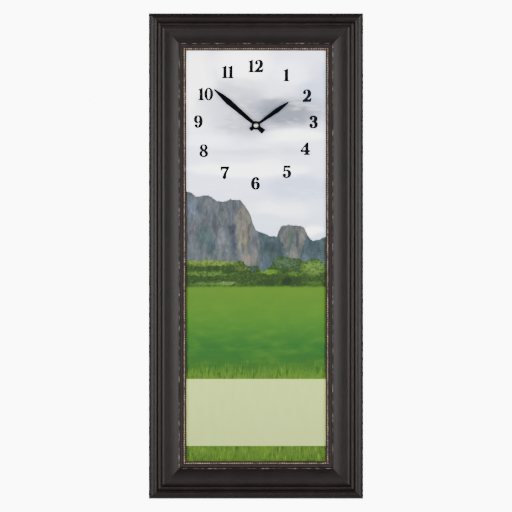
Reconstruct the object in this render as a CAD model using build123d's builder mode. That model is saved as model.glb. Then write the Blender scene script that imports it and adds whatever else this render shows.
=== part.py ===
"""Framed wall clock: a moulded picture frame with a printed face and a quartz movement.

Millimetres. +Z is up and the front faces -Y. The wall is the plane y = 0, and the origin is the
point where the sawtooth hanger sits on its nail. Distances called depth are measured from the wall.
"""
import os
from math import cos, pi, radians, sin, sqrt

from build123d import *

os.makedirs("parts", exist_ok=True)

# Frame moulding
FRAME_W = 361.95
FRAME_H = 819.15
MOULD_W = 63.5
MOULD_T = 38.1
TOP_Z = 30.0
BACK_DEPTH = 3.0
RABBET_W = 11.0
RABBET_T = 20.5
LIP_FRONT = 25.0
SIGHT_W = FRAME_W - 2 * MOULD_W
SIGHT_H = FRAME_H - 2 * MOULD_W
FRAME_CZ = TOP_Z - FRAME_H / 2

# Bead row round the sight edge
BEAD_R = 1.6
BEAD_NECK_R = 0.6
BEAD_INSET = 3.3
BEADS_ACROSS = 64
BEADS_DOWN = 182

# Printed face and its board
SHEET_W = 254.0
SHEET_H = 711.2
PRINT_T = 0.4
BOARD_T = 3.0
PRINT_BACK = BACK_DEPTH + RABBET_T - PRINT_T
BOARD_BACK = PRINT_BACK - BOARD_T
FACE_DEPTH = BACK_DEPTH + RABBET_T

# Dial and hands
DIAL_Z = TOP_Z - 189.4
MINUTE_TURN = 310.7
HAND_LAG = 1.5
HOUR_TURN = (360 + MINUTE_TURN) / 12 - HAND_LAG
HAND_T = 0.5
HOUR_HAND_DEPTH = 28.0
MINUTE_HAND_DEPTH = 30.2

# Quartz movement
CASE = 56.0
CASE_BACK = 3.6
COVER_T = 1.2
CASE_WALL = 1.2
CASE_FRONT = 19.6
FRONT_T = 0.8
CASE_INNER = CASE_FRONT - FRONT_T
BUSHING_R = 3.9
BUSHING_END = 27.0
BATTERY_R = 7.25
BATTERY_Z = -17.9
BATTERY_DEPTH = 11.2
BAY_TOP = -9.3
PARTITION_T = 0.8

# Running fits
ARBOR_R = 0.5
PIVOT_R = 0.35
CLEARANCE = 0.05
HOUR_TUBE_R = 2.5
MINUTE_TUBE_R = 1.6
MINUTE_REAR_R = 1.0
KNOB_R = 1.0

# Gear modules, and the layer in which each pair of wheels meshes
FINE = 0.25
MIDDLE = 17 / 72
COARSE = 0.36
MOTION = 0.30
HOUR = 0.288
WHEEL_T = 0.8
LAYER_SECONDS = 5.6
LAYER_THIRD = 7.0
LAYER_INTERMEDIATE = 8.4
LAYER_CENTRE = 9.8
PLATE_BACK = 11.6
PLATE_T = 1.0
LAYER_MOTION = 13.4
LAYER_HOUR = 14.8

# Arbor positions from the dial's centre, by centre distance and direction
THIRD_AT = (8.5 * cos(pi / 4), 8.5 * sin(pi / 4))
INTERMEDIATE_AT = (8.64 * cos(0.75 * pi), 8.64 * sin(0.75 * pi))
ROTOR_AT = (15.64 * cos(0.75 * pi), 15.64 * sin(0.75 * pi))
MOTION_AT = (7.2, 0.0)
KNOB_AT = (14.4, 0.0)
COIL_Z = 21.5
COIL_DEPTH = 7.8


def facing(depth, x=0.0, z=0.0):
    """Plane parallel to the wall whose normal points to the front, x to the right and y up."""
    return Plane(origin=(x, -depth, z), x_dir=(1, 0, 0), z_dir=(0, -1, 0))


def dial(depth, at=(0.0, 0.0)):
    """The same plane, centred on the dial or on an arbor placed from it."""
    return facing(depth, at[0], DIAL_Z + at[1])


def save(part, name, label):
    part.label = label
    export_step(part, f"parts/{name}.step")


# ---------------------------------------------------------------- frame moulding
def profile():
    """Section of the moulding: x runs outward from the outer edge, y from the back to the front."""
    with BuildSketch(Plane.XY, mode=Mode.PRIVATE) as section:
        with BuildLine():
            Polyline((0, 0), (0, 29), (-0.6, 31))
            Spline((-0.6, 31), (-3.6, 36.4), (-9.6, MOULD_T), (-15.4, 36.8), (-18, 34.6))
            Polyline((-18, 34.6), (-18.7, 36), (-21.5, 35.3))
            ThreePointArc((-21.5, 35.3), (-24.6, 32.6), (-31, 31.9))
            ThreePointArc((-31, 31.9), (-41.5, 31.1), (-50.4, 27.4))
            Polyline((-50.4, 27.4), (-51.8, 27.8), (-53.4, LIP_FRONT), (-MOULD_W, LIP_FRONT))
            Polyline((-MOULD_W, LIP_FRONT), (-MOULD_W, RABBET_T), (-MOULD_W + RABBET_W, RABBET_T))
            Polyline((-MOULD_W + RABBET_W, RABBET_T), (-MOULD_W + RABBET_W, 0), (0, 0))
        make_face()
    return section.sketch


def rail(length, middle, outward, along):
    """One side of the frame: the section run along its length and mitred at both ends."""
    section_plane = Plane(origin=middle, x_dir=outward, z_dir=along)
    mitre_plane = Plane(origin=middle, x_dir=along, z_dir=(0, -1, 0))
    with BuildPart() as side:
        with BuildSketch(section_plane):
            add(profile())
        extrude(amount=length / 2, both=True)
        with BuildSketch(mitre_plane):
            with BuildLine():
                Polyline(
                    (-length / 2, 0),
                    (length / 2, 0),
                    (length / 2 - MOULD_W, -MOULD_W),
                    (-length / 2 + MOULD_W, -MOULD_W),
                    close=True,
                )
            make_face()
        extrude(amount=MOULD_T + 10, mode=Mode.INTERSECT)
    return side.part


def bead_row(count, pitch, middle, along):
    """A half-round string of beads, flat on the lip, with thin necks between the beads."""
    half_chord = sqrt(BEAD_R**2 - BEAD_NECK_R**2)
    first = -(count - 1) * pitch / 2
    with BuildPart() as row:
        with BuildSketch(Plane(origin=middle, x_dir=along, z_dir=(0, -1, 0))):
            with BuildLine():
                Line((first - half_chord, 0), (first - half_chord, BEAD_NECK_R))
                for n in range(count):
                    x = first + n * pitch
                    ThreePointArc((x - half_chord, BEAD_NECK_R), (x, BEAD_R), (x + half_chord, BEAD_NECK_R))
                    if n < count - 1:
                        Line((x + half_chord, BEAD_NECK_R), (x + pitch - half_chord, BEAD_NECK_R))
                Line((-first + half_chord, BEAD_NECK_R), (-first + half_chord, 0))
                Line((-first + half_chord, 0), (first - half_chord, 0))
            make_face()
        revolve(axis=Axis(middle, along), revolution_arc=180)
    return row.part


SIDE_X = FRAME_W / 2
BOTTOM_Z = TOP_Z - FRAME_H
RAILS = {
    "rail_top": (FRAME_W, (0, -BACK_DEPTH, TOP_Z), (0, 0, 1), (1, 0, 0)),
    "rail_bottom": (FRAME_W, (0, -BACK_DEPTH, BOTTOM_Z), (0, 0, -1), (-1, 0, 0)),
    "stile_right": (FRAME_H, (SIDE_X, -BACK_DEPTH, FRAME_CZ), (1, 0, 0), (0, 0, -1)),
    "stile_left": (FRAME_H, (-SIDE_X, -BACK_DEPTH, FRAME_CZ), (-1, 0, 0), (0, 0, 1)),
}
for name, (length, middle, outward, along) in RAILS.items():
    save(rail(length, middle, outward, along), name, name.replace("_", " "))

BEAD_DEPTH = BACK_DEPTH + LIP_FRONT
BEAD_X = SIGHT_W / 2 + BEAD_INSET
BEAD_Z = SIGHT_H / 2 + BEAD_INSET
ACROSS_PITCH = 2 * BEAD_X / (BEADS_ACROSS - 1)
DOWN_PITCH = 2 * BEAD_Z / (BEADS_DOWN + 1)
BEAD_ROWS = {
    "beads_top": (BEADS_ACROSS, ACROSS_PITCH, (0, -BEAD_DEPTH, FRAME_CZ + BEAD_Z), (1, 0, 0)),
    "beads_bottom": (BEADS_ACROSS, ACROSS_PITCH, (0, -BEAD_DEPTH, FRAME_CZ - BEAD_Z), (-1, 0, 0)),
    "beads_right": (BEADS_DOWN, DOWN_PITCH, (BEAD_X, -BEAD_DEPTH, FRAME_CZ), (0, 0, -1)),
    "beads_left": (BEADS_DOWN, DOWN_PITCH, (-BEAD_X, -BEAD_DEPTH, FRAME_CZ), (0, 0, 1)),
}
for name, (count, pitch, middle, along) in BEAD_ROWS.items():
    save(bead_row(count, pitch, middle, along), name, name.replace("_", " "))

# ---------------------------------------------------------------- frame hardware
# Two W-shaped nails driven across each mitre from the back
V_NAIL_LEG = 4.5
V_NAIL_T = 0.6
V_NAIL_DEEP = 7.0
V_NAIL_BENDS = [(-2 * V_NAIL_LEG, 0), (-V_NAIL_LEG, 3), (0, 0), (V_NAIL_LEG, 3), (2 * V_NAIL_LEG, 0)]
with BuildPart() as v_nails:
    for sx in (-1, 1):
        for sz in (-1, 1):
            for inward in (17.0, 36.0):
                x = sx * (FRAME_W / 2 - inward)
                z = FRAME_CZ + sz * (FRAME_H / 2 - inward)
                across = (-sx * sqrt(0.5), 0, sz * sqrt(0.5))
                with BuildSketch(Plane(origin=(x, -BACK_DEPTH, z), x_dir=across, z_dir=(0, -1, 0))):
                    with BuildLine():
                        Polyline(*V_NAIL_BENDS)
                    trace(line_width=V_NAIL_T)
                extrude(amount=V_NAIL_DEEP)
save(v_nails.part, "corner_v_nails", "corner v-nails")

# Flat steel points pushed into the rabbet wall behind the backing board
POINT_L = 16.0
POINT_W = 6.0
POINT_T = 0.5
POINT_BITE = 5.0
OPENING_X = FRAME_W / 2 - MOULD_W + RABBET_W
OPENING_Z = FRAME_H / 2 - MOULD_W + RABBET_W
POINT_X = OPENING_X + POINT_BITE - POINT_L / 2
POINT_Z = OPENING_Z + POINT_BITE - POINT_L / 2
with BuildPart() as points:
    for side in (-1, 1):
        with BuildSketch(facing(BOARD_BACK - POINT_T, side * POINT_X, FRAME_CZ)):
            with GridLocations(1, 165, 1, 4):
                Rectangle(POINT_L, POINT_W)
        extrude(amount=POINT_T)
        with BuildSketch(facing(BOARD_BACK - POINT_T, 0, FRAME_CZ + side * POINT_Z)):
            with GridLocations(130, 1, 2, 1):
                Rectangle(POINT_W, POINT_L)
        extrude(amount=POINT_T)
save(points.part, "framers_points", "framer's points")

# Sawtooth hanger: a raised strip with teeth along its lower edge, on two feet
HANGER_L = 45.0
HANGER_H = 10.0
HANGER_T = 0.7
HANGER_LIFT = 1.1
FOOT_L = 8.0
TOOTH_PITCH = 3.0
TOOTH_H = 1.5
SCREW_X = HANGER_L / 2 - FOOT_L / 2
STRIP_BACK = BACK_DEPTH - HANGER_LIFT - HANGER_T
with BuildPart() as hanger:
    with BuildSketch(facing(STRIP_BACK)):
        with BuildLine():
            teeth = 9
            low = [(-teeth * TOOTH_PITCH / 2, 0)]
            for n in range(teeth):
                left = (n - teeth / 2) * TOOTH_PITCH
                low += [(left + 0.6, -TOOTH_H), (left + TOOTH_PITCH - 0.6, -TOOTH_H), (left + TOOTH_PITCH, 0)]
            half = HANGER_L / 2 - FOOT_L
            Polyline((-half, 0), *low, (half, 0), (half, HANGER_H), (-half, HANGER_H), close=True)
        make_face()
    extrude(amount=HANGER_T)
    with BuildSketch(facing(BACK_DEPTH - HANGER_T)):
        with Locations((-SCREW_X, HANGER_H / 2), (SCREW_X, HANGER_H / 2)):
            Rectangle(FOOT_L, HANGER_H)
            Circle(1.3, mode=Mode.SUBTRACT)
    extrude(amount=HANGER_T)
    with BuildSketch(facing(STRIP_BACK)):
        with Locations((-half, HANGER_H / 2), (half, HANGER_H / 2)):
            Rectangle(HANGER_T, HANGER_H)
    extrude(amount=HANGER_LIFT + HANGER_T)
save(hanger.part, "sawtooth_hanger", "sawtooth hanger")

with BuildPart() as hanger_screws:
    with BuildSketch(facing(BACK_DEPTH - HANGER_T - 1.2)):
        with Locations((-SCREW_X, HANGER_H / 2), (SCREW_X, HANGER_H / 2)):
            Circle(2.6)
    extrude(amount=1.2, taper=-8)
    with BuildSketch(facing(BACK_DEPTH - HANGER_T)):
        with Locations((-SCREW_X, HANGER_H / 2), (SCREW_X, HANGER_H / 2)):
            Circle(1.2)
    extrude(amount=11)
save(hanger_screws.part, "hanger_screws", "hanger screws")

# Round rubber bumpers that hold the bottom corners off the wall
BUMPER_R = 4.8
BUMPER_X = FRAME_W / 2 - 26
BUMPER_Z = BOTTOM_Z + 26
with BuildPart() as bumpers:
    with BuildSketch(facing(0)):
        with Locations((-BUMPER_X, BUMPER_Z), (BUMPER_X, BUMPER_Z)):
            Circle(BUMPER_R - 0.6)
    extrude(amount=BACK_DEPTH, taper=-11)
save(bumpers.part, "wall_bumpers", "wall bumpers")

# ---------------------------------------------------------------- printed face and board
SHAFT_HOLE_R = 4.5
with BuildPart() as printed_face:
    with BuildSketch(facing(PRINT_BACK, 0, FRAME_CZ)):
        Rectangle(SHEET_W, SHEET_H)
        with Locations((0, DIAL_Z - FRAME_CZ)):
            Circle(SHAFT_HOLE_R, mode=Mode.SUBTRACT)
    extrude(amount=PRINT_T)
save(printed_face.part, "printed_face", "printed face")

with BuildPart() as backing_board:
    with BuildSketch(facing(BOARD_BACK, 0, FRAME_CZ)):
        Rectangle(SHEET_W, SHEET_H)
        with Locations((0, DIAL_Z - FRAME_CZ)):
            Circle(SHAFT_HOLE_R, mode=Mode.SUBTRACT)
    extrude(amount=BOARD_T)
save(backing_board.part, "backing_board", "backing board")


# ---------------------------------------------------------------- hands
def hand_plane(depth, turn):
    """Plane of a hand: y points along the hand, turned clockwise from twelve o'clock."""
    a = radians(turn)
    return Plane(origin=(0, -depth, DIAL_Z), x_dir=(cos(a), 0, -sin(a)), z_dir=(0, -1, 0))


def lance(half_widths):
    """Closed outline from the half widths met from the tail to the tip."""
    right = [(w, y) for y, w in half_widths]
    left = [(-w, y) for y, w in reversed(half_widths)]
    return right + left


MINUTE_SHAPE = [
    (-17.3, 3.9), (-16.0, 5.0), (-11, 4.3), (-6, 3.2), (8, 2.9), (61, 5.2), (72, 4.2), (92.6, 1.4), (93.4, 0.8)
]
HOUR_SHAPE = [
    (-12.5, 2.9), (-11.4, 3.75), (-6, 2.9), (8, 2.0), (44, 3.85), (53, 3.1), (67.1, 1.1), (67.7, 0.6)
]


def hand(depth, turn, shape, hub_r, bore_r, collet):
    """A flat lance hand with a round hub, and a short collet behind it where one is given."""
    with BuildPart() as piece:
        with BuildSketch(hand_plane(depth, turn)):
            with BuildLine():
                Polyline(*lance(shape), close=True)
            make_face()
            Circle(hub_r)
            Circle(bore_r, mode=Mode.SUBTRACT)
        extrude(amount=HAND_T)
        if collet:
            with BuildSketch(hand_plane(depth - collet, turn)):
                Circle(bore_r + 0.8)
                Circle(bore_r, mode=Mode.SUBTRACT)
            extrude(amount=collet)
    return piece.part


TIP_R = 1.4
save(hand(HOUR_HAND_DEPTH, HOUR_TURN, HOUR_SHAPE, 7.4, HOUR_TUBE_R, 0.6), "hour_hand", "hour hand")
save(hand(MINUTE_HAND_DEPTH, MINUTE_TURN, MINUTE_SHAPE, 6.6, TIP_R, 0), "minute_hand", "minute hand")

NUT_BACK = MINUTE_HAND_DEPTH + HAND_T
CAP_R = 4.4
CAP_H = 3.4
with BuildPart() as cap_nut:
    with BuildSketch(dial(NUT_BACK)):
        Circle(CAP_R)
    extrude(amount=CAP_H)
    fillet(cap_nut.edges().sort_by(Axis.Y)[0], CAP_H - 1.0)
    with BuildSketch(dial(NUT_BACK)):
        Circle(TIP_R + CLEARANCE)
    extrude(amount=2.2, mode=Mode.SUBTRACT)
save(cap_nut.part, "cap_nut", "cap nut")


# ---------------------------------------------------------------- shaft fixing
def ring(depth, thick, outer, inner, at=(0.0, 0.0)):
    with BuildPart() as piece:
        with BuildSketch(dial(depth, at)):
            Circle(outer)
            Circle(inner, mode=Mode.SUBTRACT)
        extrude(amount=thick)
    return piece.part


WASHER_T = 0.5
save(ring(CASE_FRONT, BOARD_BACK - CASE_FRONT, 10.0, 4.1), "rubber_gasket", "rubber gasket")
save(ring(FACE_DEPTH, WASHER_T, 6.7, 4.1), "brass_washer", "brass washer")
with BuildPart() as hex_nut:
    with BuildSketch(dial(FACE_DEPTH + WASHER_T)):
        RegularPolygon(5.8, 6)
        Circle(BUSHING_R + CLEARANCE, mode=Mode.SUBTRACT)
    extrude(amount=2.0)
    chamfer(hex_nut.faces().sort_by(Axis.Y)[0].outer_wire().edges(), 0.25)
save(hex_nut.part, "hex_nut", "hex nut")

# ---------------------------------------------------------------- movement case
BAY_X = 25.9
POSTS = [(-22, -6), (22, -6), (-22, 15), (22, 15)]
with BuildPart() as case_front:
    with BuildSketch(dial(CASE_BACK + COVER_T)):
        RectangleRounded(CASE, CASE, 3)
        RectangleRounded(CASE - 2 * CASE_WALL, CASE - 2 * CASE_WALL, 1.8, mode=Mode.SUBTRACT)
        with Locations((0, BAY_TOP)):
            Rectangle(CASE - 2, PARTITION_T)
    extrude(amount=CASE_INNER - CASE_BACK - COVER_T)
    with BuildSketch(dial(CASE_INNER)):
        RectangleRounded(CASE, CASE, 3)
    extrude(amount=FRONT_T)
    with BuildSketch(dial(PLATE_BACK + PLATE_T)):
        with Locations(*POSTS):
            Circle(1.5)
    extrude(amount=CASE_INNER - PLATE_BACK - PLATE_T)
    with BuildSketch(dial(CASE_INNER)):
        Circle(BUSHING_R)
    extrude(amount=BUSHING_END - CASE_INNER)
    with BuildSketch(dial(CASE_INNER)):
        Circle(HOUR_TUBE_R + CLEARANCE)
    extrude(amount=BUSHING_END - CASE_INNER, mode=Mode.SUBTRACT)
save(case_front.part, "case_front", "movement case front")

COVER_PIVOTS = [(0, 0), THIRD_AT, INTERMEDIATE_AT, ROTOR_AT]
with BuildPart() as case_back:
    with BuildSketch(dial(CASE_BACK)):
        RectangleRounded(CASE, CASE, 3)
        with Locations((0, BATTERY_Z)):
            Rectangle(2 * BAY_X, 2 * BATTERY_R + 1, mode=Mode.SUBTRACT)
        with Locations(KNOB_AT):
            Circle(KNOB_R + CLEARANCE, mode=Mode.SUBTRACT)
    extrude(amount=COVER_T)
    with BuildSketch(dial(CASE_BACK + 0.4)):
        with Locations(*COVER_PIVOTS):
            Circle(PIVOT_R + CLEARANCE)
    extrude(amount=COVER_T - 0.4, mode=Mode.SUBTRACT)
save(case_back.part, "case_back", "movement case back")

STATOR_BACK = 6.6
STATOR_T = 0.8
PCB_FRONT = 7.8
MOTION_STUD_R = 0.6
BOARD_POSTS = [(-22, -4), (-22, 13)]
STATOR_POSTS = [(-14.3, 15.9), (16, 15.9)]
with BuildPart() as train_plate:
    with BuildSketch(dial(PLATE_BACK)):
        with Locations((0, 4.5)):
            RectangleRounded(48, 25, 2)
        with Locations((0, 0), KNOB_AT):
            Circle(MINUTE_REAR_R + CLEARANCE, mode=Mode.SUBTRACT)
        with Locations(*COVER_PIVOTS[1:]):
            Circle(PIVOT_R + CLEARANCE, mode=Mode.SUBTRACT)
    extrude(amount=PLATE_T)
    for front, places in ((PCB_FRONT, BOARD_POSTS), (STATOR_BACK + STATOR_T, STATOR_POSTS)):
        with BuildSketch(dial(front)):
            with Locations(*places):
                Circle(0.9)
        extrude(amount=PLATE_BACK - front)
    with BuildSketch(dial(PLATE_BACK + PLATE_T, MOTION_AT)):
        Circle(MOTION_STUD_R)
    extrude(amount=4.0)
save(train_plate.part, "train_plate", "train plate")

# ---------------------------------------------------------------- gear train
# Tooth form as (addendum, dedendum, tip, pitch and root widths), in modules and tooth steps
WHEEL_FORM = (0.85, 1.2, 0.16, 0.40, 0.50)
PINION_FORM = (0.75, 1.25, 0.12, 0.34, 0.34)


def teeth_outline(count, module, form, phase):
    """Points of a gear outline whose first tooth points in the direction phase."""
    addendum, dedendum, tip, pitch_width, root_width = form
    pitch_r = count * module / 2
    step = 2 * pi / count
    radii = (pitch_r - dedendum * module, pitch_r, pitch_r + addendum * module)
    flanks = [(r, w * step / 2 * pitch_r / r) for r, w in zip(radii, (root_width, pitch_width, tip))]
    outline = []
    for n in range(count):
        centre = phase + n * step
        outline += [(r * cos(centre - a), r * sin(centre - a)) for r, a in flanks]
        outline += [(r * cos(centre + a), r * sin(centre + a)) for r, a in reversed(flanks)]
    return outline


def meshed(count1, phase1, count2, direction):
    """Phase of a second gear, found in the given direction, that meshes with the first."""
    offset1 = (direction - phase1) * count1 / (2 * pi)
    return direction + pi - (2 * pi / count2) * (0.5 - offset1)


def toothed(depth, thick, at, count, module, form, phase, spokes=0):
    """Teeth and web of one wheel or pinion, to be added to the part being built."""
    with BuildSketch(dial(depth, at)) as web:
        with BuildLine():
            Polyline(*teeth_outline(count, module, form, phase), close=True)
        make_face()
        if spokes:
            with PolarLocations(count * module * 0.30, spokes):
                Circle(count * module * 0.10, mode=Mode.SUBTRACT)
    extrude(web.sketch, amount=thick)


def rod(start, end, at, r, mode=Mode.ADD):
    """A round length of arbor between two depths."""
    with BuildSketch(dial(start, at)) as section:
        Circle(r)
    extrude(section.sketch, amount=end - start, mode=mode)


ARBOR_BACK = CASE_BACK + COVER_T + 0.1
PIVOT_BACK = CASE_BACK + 0.6
ARBOR_FRONT = PLATE_BACK - 0.1
PIVOT_FRONT = PLATE_BACK + 0.8


def arbor(at, front=ARBOR_FRONT, pivot_front=PIVOT_FRONT):
    rod(ARBOR_BACK, front, at, ARBOR_R)
    rod(PIVOT_BACK, pivot_front, at, PIVOT_R)


PHASE_SECONDS_PINION = 0.0
PHASE_THIRD = meshed(8, PHASE_SECONDS_PINION, 60, pi / 4)
PHASE_CENTRE = meshed(8, 0.0, 64, pi / 4 + pi)
PHASE_INTERMEDIATE_PINION = meshed(40, 0.0, 8, 0.75 * pi)
PHASE_ROTOR = meshed(48, 0.0, 8, 0.75 * pi)
PHASE_MOTION = meshed(12, 0.0, 36, 0.0)
PHASE_KNOB = meshed(36, PHASE_MOTION, 12, 0.0)
PHASE_HOUR = meshed(10, 0.0, 40, pi)
HOLE_AROUND_MINUTE = MINUTE_REAR_R + CLEARANCE

with BuildPart() as rotor:
    arbor(ROTOR_AT)
    rod(6.2, 7.8, ROTOR_AT, 2.0)
    toothed(8.2, 1.2, ROTOR_AT, 8, FINE, PINION_FORM, PHASE_ROTOR)
save(rotor.part, "rotor", "magnet rotor")

with BuildPart() as intermediate_wheel:
    arbor(INTERMEDIATE_AT)
    toothed(LAYER_SECONDS - 0.2, 1.2, INTERMEDIATE_AT, 8, COARSE, PINION_FORM, PHASE_INTERMEDIATE_PINION)
    toothed(LAYER_INTERMEDIATE, WHEEL_T, INTERMEDIATE_AT, 48, FINE, WHEEL_FORM, 0.0, 5)
save(intermediate_wheel.part, "intermediate_wheel", "intermediate wheel")

with BuildPart() as seconds_wheel:
    arbor((0, 0), LAYER_CENTRE - 0.6, LAYER_CENTRE + 0.4)
    toothed(LAYER_SECONDS, WHEEL_T, (0, 0), 40, COARSE, WHEEL_FORM, 0.0, 5)
    toothed(LAYER_THIRD - 0.2, 1.2, (0, 0), 8, FINE, PINION_FORM, PHASE_SECONDS_PINION)
save(seconds_wheel.part, "seconds_wheel", "seconds wheel")

with BuildPart() as third_wheel:
    arbor(THIRD_AT)
    toothed(LAYER_THIRD, WHEEL_T, THIRD_AT, 60, FINE, WHEEL_FORM, PHASE_THIRD, 5)
    toothed(LAYER_CENTRE - 0.2, 1.2, THIRD_AT, 8, MIDDLE, PINION_FORM, 0.0)
save(third_wheel.part, "third_wheel", "third wheel")

with BuildPart() as centre_wheel:
    toothed(LAYER_CENTRE, WHEEL_T, (0, 0), 64, MIDDLE, WHEEL_FORM, PHASE_CENTRE, 5)
    rod(LAYER_CENTRE, PLATE_BACK - 0.2, (0, 0), 2.0)
    rod(LAYER_CENTRE, PLATE_BACK - 0.2, (0, 0), HOLE_AROUND_MINUTE, Mode.SUBTRACT)
save(centre_wheel.part, "centre_wheel", "centre wheel")

with BuildPart() as minute_arbor:
    rod(LAYER_CENTRE - 0.1, LAYER_MOTION, (0, 0), MINUTE_REAR_R)
    toothed(LAYER_MOTION - 0.1, 1.0, (0, 0), 12, MOTION, PINION_FORM, 0.0)
    rod(LAYER_MOTION + 0.9, MINUTE_HAND_DEPTH, (0, 0), MINUTE_TUBE_R)
    rod(MINUTE_HAND_DEPTH, NUT_BACK + 2.0, (0, 0), TIP_R)
    rod(LAYER_CENTRE - 0.1, LAYER_CENTRE + 0.8, (0, 0), PIVOT_R + CLEARANCE, Mode.SUBTRACT)
save(minute_arbor.part, "minute_arbor", "minute arbor")

with BuildPart() as motion_wheel:
    toothed(LAYER_MOTION, WHEEL_T, MOTION_AT, 36, MOTION, WHEEL_FORM, PHASE_MOTION)
    toothed(LAYER_MOTION + WHEEL_T, 1.6, MOTION_AT, 10, HOUR, PINION_FORM, 0.0)
    rod(LAYER_MOTION, LAYER_MOTION + 3.0, MOTION_AT, MOTION_STUD_R + CLEARANCE, Mode.SUBTRACT)
save(motion_wheel.part, "motion_wheel", "motion wheel")

with BuildPart() as hour_wheel:
    toothed(LAYER_HOUR, WHEEL_T, (0, 0), 40, HOUR, WHEEL_FORM, PHASE_HOUR)
    rod(LAYER_HOUR, HOUR_HAND_DEPTH + HAND_T + 0.4, (0, 0), HOUR_TUBE_R)
    rod(LAYER_HOUR, HOUR_HAND_DEPTH + HAND_T + 0.4, (0, 0), MINUTE_TUBE_R + CLEARANCE, Mode.SUBTRACT)
save(hour_wheel.part, "hour_wheel", "hour wheel")

KNOB_DISC_R = 5.0
with BuildPart() as setting_knob:
    with BuildSketch(dial(1.6, KNOB_AT)):
        Circle(KNOB_DISC_R)
        with PolarLocations(KNOB_DISC_R, 24):
            Circle(0.3, mode=Mode.SUBTRACT)
    extrude(amount=1.7)
    rod(3.3, LAYER_MOTION, KNOB_AT, KNOB_R)
    toothed(LAYER_MOTION - 0.1, 1.0, KNOB_AT, 12, MOTION, PINION_FORM, PHASE_KNOB)
save(setting_knob.part, "setting_knob", "setting knob")

# ---------------------------------------------------------------- stepper motor
ROTOR_HOLE_R = 2.6
with BuildPart() as stator:
    with BuildSketch(dial(STATOR_BACK)):
        with Locations(ROTOR_AT):
            Circle(4.4)
        with Locations((3.5, 15.9)):
            Rectangle(29, 2.6)
        with Locations((-14.3, 17.4)):
            Rectangle(3.6, 11.6)
        with Locations((16.6, 18.9)):
            Rectangle(3.6, 8.6)
        with Locations(ROTOR_AT):
            Circle(ROTOR_HOLE_R, mode=Mode.SUBTRACT)
    extrude(amount=STATOR_T)
save(stator.part, "stator", "stator plate")

CORE_T = 0.8
CORE_H = 2.4
CORE_X0 = -16.0
CORE_X1 = 18.4
CORE_MID = (CORE_X0 + CORE_X1) / 2
COIL_L = 22.0
COIL_R = 2.8
BARREL_R = 1.6
with BuildPart() as coil_core:
    with BuildSketch(dial(STATOR_BACK + STATOR_T)):
        with Locations((CORE_MID, COIL_Z)):
            Rectangle(CORE_X1 - CORE_X0, CORE_H)
    extrude(amount=CORE_T)
save(coil_core.part, "coil_core", "coil core")


def across(x0):
    """Plane square to the coil's axis, with its normal towards the right."""
    return Plane(origin=(x0, -COIL_DEPTH, DIAL_Z + COIL_Z), x_dir=(0, 0, 1), z_dir=(1, 0, 0))


COIL_X0 = CORE_MID - COIL_L / 2
with BuildPart() as coil_bobbin:
    with BuildSketch(across(COIL_X0)):
        Circle(BARREL_R)
    extrude(amount=COIL_L)
    for x0 in (COIL_X0, COIL_X0 + COIL_L - 0.8):
        with BuildSketch(across(x0)):
            Circle(COIL_R)
        extrude(amount=0.8)
    with BuildSketch(across(COIL_X0)):
        Rectangle(CORE_H + 0.1, CORE_T + 0.1)
    extrude(amount=COIL_L, mode=Mode.SUBTRACT)
save(coil_bobbin.part, "coil_bobbin", "coil bobbin")

with BuildPart() as coil_winding:
    with BuildSketch(across(COIL_X0 + 0.8)):
        Circle(COIL_R - 0.3)
        Circle(BARREL_R, mode=Mode.SUBTRACT)
    extrude(amount=COIL_L - 1.6)
save(coil_winding.part, "coil_winding", "coil winding")

# ---------------------------------------------------------------- circuit
PCB_T = 0.8
PCB_AT = (-21.9, 6.0)
with BuildPart() as circuit_board:
    with BuildSketch(dial(PCB_FRONT - PCB_T, PCB_AT)):
        RectangleRounded(8.4, 26, 0.8)
    extrude(amount=PCB_T)
save(circuit_board.part, "circuit_board", "circuit board")

with BuildPart() as driver_chip:
    with BuildSketch(dial(PCB_FRONT - PCB_T - 1.0, (PCB_AT[0], 1.0))):
        Circle(1.9)
    extrude(amount=1.0, taper=-24)
save(driver_chip.part, "driver_chip", "driver chip")

CRYSTAL_END = (PCB_AT[0], -PCB_FRONT + PCB_T + 1.0, DIAL_Z + 8)
with BuildPart() as quartz_crystal:
    with BuildSketch(Plane(origin=CRYSTAL_END, x_dir=(1, 0, 0), z_dir=(0, 0, 1))):
        Circle(1.0)
    extrude(amount=6.2)
    fillet(quartz_crystal.edges().sort_by(Axis.Z)[-1], 0.4)
save(quartz_crystal.part, "quartz_crystal", "quartz crystal")

CONTACT_T = 0.3
BUMP_T = 0.9
CONTACT_X = CASE / 2 - CASE_WALL
for name, side in (("contact_positive", 1), ("contact_negative", -1)):
    with BuildPart() as contact:
        with BuildSketch(dial(BATTERY_DEPTH - 4, (side * (CONTACT_X - CONTACT_T / 2), BATTERY_Z))):
            Rectangle(CONTACT_T, 9)
        extrude(amount=8)
        with BuildSketch(dial(BATTERY_DEPTH - 1.5, (side * (CONTACT_X - CONTACT_T - BUMP_T / 2), BATTERY_Z))):
            Rectangle(BUMP_T, 4)
        extrude(amount=3)
    save(contact.part, name, name.replace("_", " "))

# AA cell, its button end towards the right
CELL_X0 = -25.25
CELL_L = 49.2
BUTTON_R = 2.75
BUTTON_H = 1.3
CELL_PLANE = Plane(origin=(CELL_X0, -BATTERY_DEPTH, DIAL_Z + BATTERY_Z), x_dir=(0, 0, 1), z_dir=(1, 0, 0))
with BuildPart() as battery:
    with BuildSketch(CELL_PLANE):
        Circle(BATTERY_R)
    extrude(amount=CELL_L)
    fillet(battery.edges().filter_by(GeomType.CIRCLE), 0.6)
    with BuildSketch(CELL_PLANE.offset(CELL_L)):
        Circle(BUTTON_R)
    extrude(amount=BUTTON_H)
save(battery.part, "battery", "AA battery")
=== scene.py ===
"""Finishes of the framed wall clock, laid out as an add-on and run as a script."""

from math import cos, pi, radians, sin

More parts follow.
